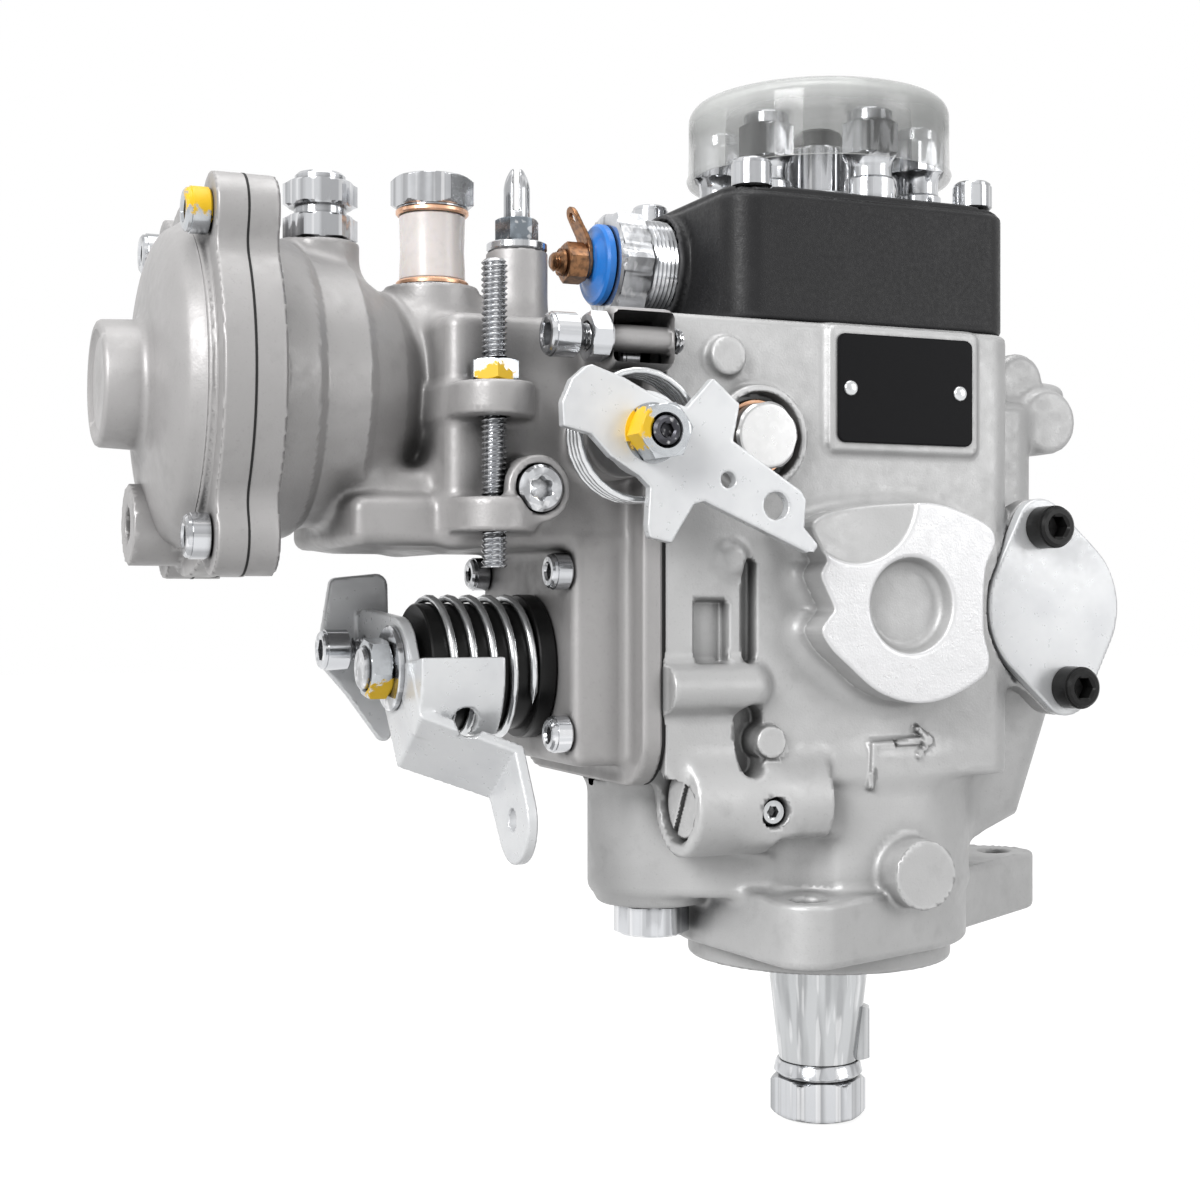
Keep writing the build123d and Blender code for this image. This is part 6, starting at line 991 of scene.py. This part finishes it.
# return banjo: hexagon, two copper washers and the milky sleeve between them
fit(bar("banjo_bolt_stem", (-107, -4, 146.2), "z", 32.0, 4.95), zinc, "banjo_bolt")
fit(hex_nut("banjo_bolt_hexagon", (-107, -4, 178.5), "z", 17, 7.5, turn=8, washer=8.2), zinc)
BANJO = (-107, -4, 0)
fit_all("sealing_washers", copper, [
    turned(f"banjo_washer_{n + 1}", BANJO, "z", ring(z, z + 1.5, 5.05, 8.6, 0.4, 0.4))
    for n, z in enumerate((160.0, 177.0))
])
rows = [(161.5, 6.4), (161.5, 7.4), (161.9, 7.8), (164.2, 7.75), (168.5, 7.55), (174.0, 7.7), (176.6, 7.8)]
rows += [(177, 7.4), (177, 6.4), (161.5, 6.4)]
fit(turned("return_sleeve_bush", BANJO, "z", rows), milky_plastic, "return_sleeve")

# full-load screw: round collar, dark hexagon and the slotted dome
rows = [(169.95, 3.2), (170, 6.9), (170.4, 7.3), (171.7, 7.3), (172.0, 6.9), (172.0, 3.2)]
fit(turned("full_load_collar", (-86, -5, 0), "z", rows), zinc, "adjusting_screws")
fit(hex_nut("full_load_nut", (-86, -5, 171.8), "z", 9.2, 6.0, turn=22), blue_zinc)


def dome_form(x, y, z):
    """Slotted screw end: a round bar with a domed top and a narrow cross slot."""
    x, y = x + 86, y + 5
    taper = 3.2 - 1.9 * np.clip((z - 184.5) / 5.5, 0, 1) ** 2
    turn = math.radians(-23.3)
    along = x * math.sin(turn) - y * math.cos(turn)
    across = x * math.cos(turn) + y * math.sin(turn)
    slot = box(across, along, z, (-0.7, -8, 179.5), (0.7, 8, 200), 0.2)
    return cut(prism(np.hypot(x, y) - taper, z, (150, 190), 0.5), slot, 0.3)


fit(skin("full_load_screw", dome_form, (-91.5, -10.5, 148), (-80.5, 0.5, 191.5), 0.45), zinc)

# speed screw, its locknut with check paint, and the stop screw
HEAD = [
    (0, 0), (0, 4.5), (0.5, 5.0), (5.8, 5.0), (5.9, 4.7), (6.6, 4.7), (7.0, 4.2), (7.0, 3.3), (6.6, 2.9, 5.0),
    (3, 2.9, 5.0), (2.6, 0),
]
fit(thread("speed_screw", (-103, -36, 93.6), "z", 2.98, 68.2, 1.25), zinc)
fit(hex_nut("speed_screw_locknut", (-103, -36, 134.5), "z", 10, 5, bore=3.0, turn=-12), yellow_zinc)
fit(thread("stop_screw_thread", (-86.6, -43, 145), "x", 2.95, 26), zinc)
fit(turned("stop_screw_head", (-86.5, -43, 145), "-x", HEAD), zinc)
fit(hex_nut("stop_screw_locknut", (-79, -43, 145), "-x", 10, 5, bore=2.9, turn=10), zinc)

# ---- timing covers ----


def timing_cover(name, side, *replaced):
    """Thin cover plate: its waisted outline with a rounded rim and two screw holes."""

    def form(x, y, z):
        d = prism(timing_outline(x, z), side * y, (35.0, 38.2), 0.5)
        for ear in EARS:
            d = cut(d, rod(x, y, z, "y", ear[:2], (-50, 50), 3.1, 0.1), 0.2)
        return d

    low, high = sorted((side * 34, side * 39.3))
    fit(skin(name, form, (24, low, 54), (69, high, 115), 0.7 if FINE < 2 else 1.2), white_plate, *replaced)


timing_cover("timing_cover_front", -1, "timing_covers")
timing_cover("timing_cover_back", 1)
fit_all("timing_screws", black_plastic, [
    socket_screw(f"timing_screw_{face}_{n + 1}", (cx, side * 38.2, cz), "-y" if side < 0 else "y", 5.25, 7.0, 5.0)
    for side, face in SIDES for n, (cx, cz, _) in enumerate(EARS)
])

# ---- plugs ----


def plug_form(x, y, z):
    """Pressure-valve plug: a disc with a bevelled rim and a straight slot across its face."""
    d = rod(x, y, z, "x", (-31, 38.5), (-54.6, -40), 8.4, 1.2)
    turn = math.radians(28)
    across = (y + 31) * math.cos(turn) + (z - 38.5) * math.sin(turn)
    along = (z - 38.5) * math.cos(turn) - (y + 31) * math.sin(turn)
    return cut(d, box(x, along, across, (-60, -20, -1.1), (-53, 20, 1.1), 0.2), 0.3)


fit(skin("pressure_valve_plug", plug_form, (-56.2, -41, 28.5), (-38, -21, 48.5), 0.5), plug_metal, "valve_plug")
rows = [
    (-10, 0), (-10, 6.9), (-1.4, 6.9), (-1.1, 7.9), (-0.7, 8.0, 15.4), (2.7, 8.0, 15.4), (3.3, 7.4, 14.6),
    (3.4, 7.0), (3.4, 0),
]
disc_plug = turned("inlet_plug_disc", (-39, -41.4, 124.4), "-y", rows, around=96, turn=12)
fit(disc_plug, ("zinc_screws", plug_metal[1]), "inlet_plug")
fit(turned("inlet_plug_washer", (-39, -41.0, 124.4), "-y", ring(-3.4, -1.8, 6.9, 9.0, 0.4, 0.3)), copper)
rows = [(-6, 0), (-6, 3.1), (0.2, 3.1), (0.7, 2.7), (0.7, 1.7), (0.5, 1.5, 2.6), (-1.5, 1.5, 2.6), (-1.8, 0)]
fit(turned("side_plug_screw", (-36, -41, 37), "-y", rows, around=48), ("zinc_screws", steel[1]))

# ---- nameplate ----


def plate_form(x, y, z):
    """Bare nameplate: a thin rounded sheet, softly cushioned."""
    return prism(sheet(x, z, (-17.7, 124), (20.3, 150), 2), y, (-40.4, -39.6), 0.25)


plate = skin("nameplate_sheet", plate_form, (-18.8, -41, 123), (21.4, -39, 151), 0.4 if FINE < 2 else 0.8)
fit(plate, plate_black, "nameplate")
rows = [(-1.5, 0), (-1.5, 1.0), (0, 1.0), (0, 1.9), (0.3, 1.85), (0.65, 1.5), (0.85, 0.9), (0.9, 0)]
for n, cx in enumerate((-14.4, 16.5)):
    rivet = turned(f"nameplate_rivet_{n + 1}", (cx, -40.4, 136.9), "-y", rows, around=40, crease=60)
    fit(rivet, ("zinc_screws", bright_wire[1]))

# ---- stop lever ----

SX, SZ = -74.6, 122.6
STOP_RIM = [
    (-88.7, 136.5), (-81.4, 134.1), (-74.1, 130.5), (-66.0, 128.2), (-59.8, 134.9), (-53.5, 129.6), (-55.2, 121.4),
    (-37.9, 110.7), (-36.7, 108.8), (-37.2, 102.5), (-33.6, 98.7), (-35.0, 96.8), (-61.9, 108.3), (-64.6, 107.6),
    (-69.0, 100.8), (-70.0, 99.1), (-74.8, 100.1), (-75.4, 102.5), (-74.8, 111.0), (-77.4, 113.4), (-84.1, 117.4),
    (-88.7, 122.1), (-95.1, 123.6), (-95.4, 128.4), (-93.2, 133.3), (-90.0, 136.1),
]


def stop_form(x, y, z):
    """Stop lever: a flat pressed plate of four arms about its hub, with two holes and a raised hub boss
    towards the spring."""
    d = prism(polygon(x, z, STOP_RIM) - 0.3, y, (-58, -55), 0.4)
    d = join(d, rod(x, y, z, "y", (SX, SZ), (-55.5, -53), 9.5, 0.4), 0.3)
    long_hole = ("y", (SX + 30.5, SZ - 15.2), (-70, -40), 3.1, 0.2, 0.3)
    return rods(d, x, y, z, cut, long_hole, ("y", (SX + 18.5, SZ - 9.7), (-70, -40), 1.8, 0.2, 0.3))


STOP = {"body": "stop_control"}
lever = skin("stop_lever_plate", stop_form, (-97.5, -59, 97), (-31.5, -52, 138), SHEET_STEP)
fit(lever, white_plate, "stop_lever", **STOP)
fit(bar("stop_lever_pin", (SX, 0, SZ), "-y", 57.0, 4.95, start=14), zinc, "stop_lever_shaft", **STOP)
fit(hex_nut("stop_lever_nut", (SX, -58, SZ), "-y", 11.4, 7.2, bore=3.3, washer=6.6, turn=8), yellow_zinc, **STOP)
rows = [(56.5, 0), (56.5, 3.2), (65.2, 3.2), (65.9, 2.6), (65.9, 1.9), (65.5, 1.6, 2.8), (64.4, 1.6, 2.8), (64.3, 0)]
fit(turned("stop_lever_stud_end", (SX, 0, SZ), "-y", rows, around=60), dark_steel, **STOP)
path = coil_path((SX, -43.6, SZ), "-y", 14.2, 9.0, 4.6, 200)
fit(tube("stop_lever_spring", path, 0.78), bright_wire, "stop_spring")

# ---- speed lever ----

LY, LZ = -5.0, 70.5
REACH = math.hypot(24, 34)
BENDS = ((-12.0, -115.5), (0.47 * REACH, -115.5), (0.7 * REACH, -95.0), (REACH + 10, -95.0))


def strip_distance(s, x):
    """Distance to the lever's bent side line, which steps from one plane to the next."""
    near = np.full(np.broadcast(s, x).shape, 1e9)
    for (s0, x0), (s1, x1) in zip(BENDS[:-1], BENDS[1:]):
        ds, dx = s1 - s0, x1 - x0
        t = np.clip(((s - s0) * ds + (x - x0) * dx) / (ds * ds + dx * dx), 0, 1)
        near = np.minimum(near, np.hypot(s - s0 - ds * t, x - x0 - dx * t))
    return near


def speed_form(x, y, z):
    """Speed lever: a strip bent twice, the plate with its wing for the idle screw, and the saddle curled
    over the spring, all of one thickness with soft edges."""
    hub, plane = (LY, LZ, 12), (-116.8, -114.2)
    s = ((y - LY) * -24 + (z - LZ) * -34) / REACH
    d = keep_in(strip_distance(s, x) - 1.3, link(y, z, hub, (-29, 36.5, 10)), 0.5)
    d = np.minimum(d, prism(link(y, z, hub, (21, 77.2, 7)), x, plane, 0.4))
    wing = ring_of(x, z, [(-122, 90, 2), (-125, 72, 2), (-118, 64, 2), (-110, 53, 2), (-112, 90, 3)])
    d = join(d, prism(wing, y, (25.4, 28), 0.5), 1.2)
    turn = (np.degrees(np.arctan2(z - LZ, y - LY)) - 18) % 360 - 180
    radius = np.hypot(y - LY, z - LZ)
    past = np.radians(np.abs(turn) - 26) * 20.5
    saddle = prism(np.maximum(np.abs(radius - 20.5) - 1.3, past), x, (-116.8, -96.8), 0.4)
    foot = prism(np.maximum(past, radius - 21.8), x, plane, 0.4)
    d = join(d, np.minimum(saddle, foot), 1.0)
    return rods(
        d, x, y, z, cut,
        ("y", (-105.5, 58.8), (-60, LY), 3.3, 0.2, 0.3),
        ("x", (20, 74.2), (-130, -105), 3.1, 0.1, 0.2),
        ("x", (-29, 36.5), (-110, -85), 2.6, 0.2, 0.3),
    )


SPEED = {"body": "speed_control"}
lever = skin("speed_lever_plate", speed_form, (-131.5, -41, 25.5), (-93, 30, 94.5), SHEET_STEP * 1.1)
fit(lever, white_plate, "speed_lever", **SPEED)
fit(bar("speed_lever_pin", (0, LY, LZ), "-x", 125.0, 4.95, start=78), zinc, "speed_lever_shaft", **SPEED)
fit(turned("speed_lever_washer", (0, LY, LZ), "-x", ring(116.8, 118.4, 5.0, 10.0, 0.3, 0.4)), zinc, **SPEED)
fit(hex_nut("speed_lever_nut", (-118.4, LY, LZ), "-x", 13, 5.4, bore=4.9, turn=-10), yellow_zinc, **SPEED)
fit(thread("idle_screw_thread", (-121.2, 20, 74.2), "x", 2.95, 23), zinc, **SPEED)
fit(turned("idle_screw_head", (-121.0, 20, 74.2), "-x", HEAD), zinc, **SPEED)
fit(hex_nut("idle_screw_locknut", (-114.2, 20, 74.2), "x", 10, 5, bore=2.9), zinc, **SPEED)
path = coil_path((-87.4, LY, LZ), "-x", 16.3, 24.2, 5.02, 239)
fit(tube("speed_lever_spring", path, 0.95, 18), bright_wire, "speed_spring")
rows = [
    (82.4, 5.3), (82.4, 16.9), (82.8, 17.2), (86.2, 17.2), (86.5, 16.9), (86.6, 15.1), (111.6, 15.1), (112.0, 14.7),
    (112.0, 5.3), (82.4, 5.3),
]
fit(turned("speed_lever_sleeve", (0, LY, LZ), "-x", rows), black_plastic)

# ---- drive shaft and its nut ----

rows = [
    (-46.5, 0), (-46.5, 6.2), (-45.8, 6.9), (-33.2, 6.9), (-33.0, 9.6), (-32.4, 10.2), (-12.1, 12.55), (-12.0, 12.6),
    (44, 12.6), (44, 0),
]
fit(turned("drive_shaft_taper", (0, 0, 0), "z", rows, around=96), steel, body="drive_line")
rows = [
    (-47.8, 6.0), (-47.8, 9.9), (-47.7, 10.5), (-47.4, 11.1, 21.6), (-47.1, 11.65, 21.6), (-46.7, 12.1, 21.6),
    (-46.3, 12.4, 21.6), (-38.7, 12.4, 21.6), (-38.3, 12.1, 21.6), (-37.95, 11.65, 21.6), (-37.65, 11.1, 21.6),
    (-37.4, 10.5), (-37.2, 10.2), (-36.7, 10.2), (-36.5, 11.2), (-36.1, 11.5), (-33.9, 11.0), (-33.3, 10.6),
    (-33.1, 10.0), (-33.1, 7.0), (-47, 7.0), (-47.8, 6.0),
]
nut = turned("drive_shaft_nut", (0, 0, 0), "z", rows, around=96, turn=6.7)
fit(nut, zinc, "shaft_nut", body="drive_line")
rows = [(3, 0), (3, 8.0), (3.6, 9.4, 17), (10.2, 9.4, 17), (10.9, 8.3), (11, 6.0), (20, 6.0), (20, 3.9)]
rows += [(106, 3.9), (106, 0)]
fit(turned("governor_shaft_nut", (-48, 0, 0), "z", rows, turn=10), zinc, "governor_shaft")

# ---- parts that stay as the CAD model gives them ----

PLAIN = {"cover_gasket": black_rubber, "shaft_seal": black_rubber, "boost_diaphragm": black_rubber}
PLAIN["shaft_bush"] = bronze
for name, node in nodes.items():
    if not node.hide_render:
        wear_finish(node, PLAIN.get(name, steel)[1])

# ---- camera, light and floor ----

scene = bpy.context.scene
camera = bpy.data.cameras.new("camera")
camera.lens = 55.05
camera.sensor_width = 36
eye = bpy.data.objects.new("camera", camera)
eye.location = (-0.2422, -0.4183, 0.0864)
eye.rotation_euler = (math.radians(90), 0, math.radians(-23.3))
scene.collection.objects.link(eye)
scene.camera = eye
scene.view_settings.view_transform = "Standard"


def lamp(name, place, size, power):
    """Square area lamp that faces the middle of the pump."""
    light = bpy.data.lights.new(name, "AREA")
    light.size = size
    light.energy = power
    holder = bpy.data.objects.new(name, light)
    holder.location = place
    way = np.array((-0.05, 0, 0.08)) - np.array(place)
    pitch = math.atan2(math.hypot(way[0], way[1]), -way[2])
    holder.rotation_euler = (pitch, 0, math.atan2(way[1], way[0]) - math.pi / 2)
    scene.collection.objects.link(holder)


lamp("key_from_left", (-0.95, -0.62, 0.6), 0.5, 12.0)
lamp("fill_from_right", (0.75, -0.9, 0.35), 0.5, 2.5)
lamp("top", (-0.05, -0.05, 1.0), 0.7, 4.5)


def seen_rays(tree):
    """One for rays from the camera and for those that metal and clear plastic send on."""
    ray = tree.nodes.new("ShaderNodeLightPath")
    seen = ray.outputs["Is Camera Ray"]
    for kind in ("Is Glossy Ray", "Is Transmission Ray"):
        seen = add(tree, "Math", (0, seen), (1, ray.outputs[kind]), operation="MAXIMUM")
    return seen


FLOOR_Z, HALF, GLOW = -0.0482, 3.0, 0.91
sheet_mesh = bpy.data.meshes.new("floor")
corners = [(sx * HALF, sy * HALF, FLOOR_Z) for sx, sy in ((-1, -1), (1, -1), (1, 1), (-1, 1))]
sheet_mesh.from_pydata(corners, [], [(0, 1, 2, 3)])
floor = bpy.data.objects.new("floor", sheet_mesh)
scene.collection.objects.link(floor)
pale = bpy.data.materials.new("pale_floor")
pale.use_nodes = True
tree = pale.node_tree
tree.nodes.remove(tree.nodes["Principled BSDF"])
level = add(tree, "Math", (0, seen_rays(tree)), (1, GLOW), operation="MULTIPLY")
matt = add(tree, "BsdfDiffuse", ("Color", (0.3, 0.3, 0.3, 1)))
both = add(tree, "AddShader", (0, matt), (1, add(tree, "Emission", ("Strength", level))))
tree.links.new(both, tree.nodes["Material Output"].inputs["Surface"])
sheet_mesh.materials.append(pale)

world = bpy.data.worlds.new("studio")
scene.world = world
world.use_nodes = True
tree = world.node_tree
WHITE = (1, 1, 1, 1)
soft = tree.nodes["Background"]
soft.inputs["Color"].default_value = WHITE
soft.inputs["Strength"].default_value = 0.38
white = add(tree, "Background", ("Color", WHITE), ("Strength", 1.0))
mix = add(tree, "MixShader", (0, seen_rays(tree)), (1, soft.outputs[0]), (2, white))
tree.links.new(mix, tree.nodes["World Output"].inputs["Surface"])
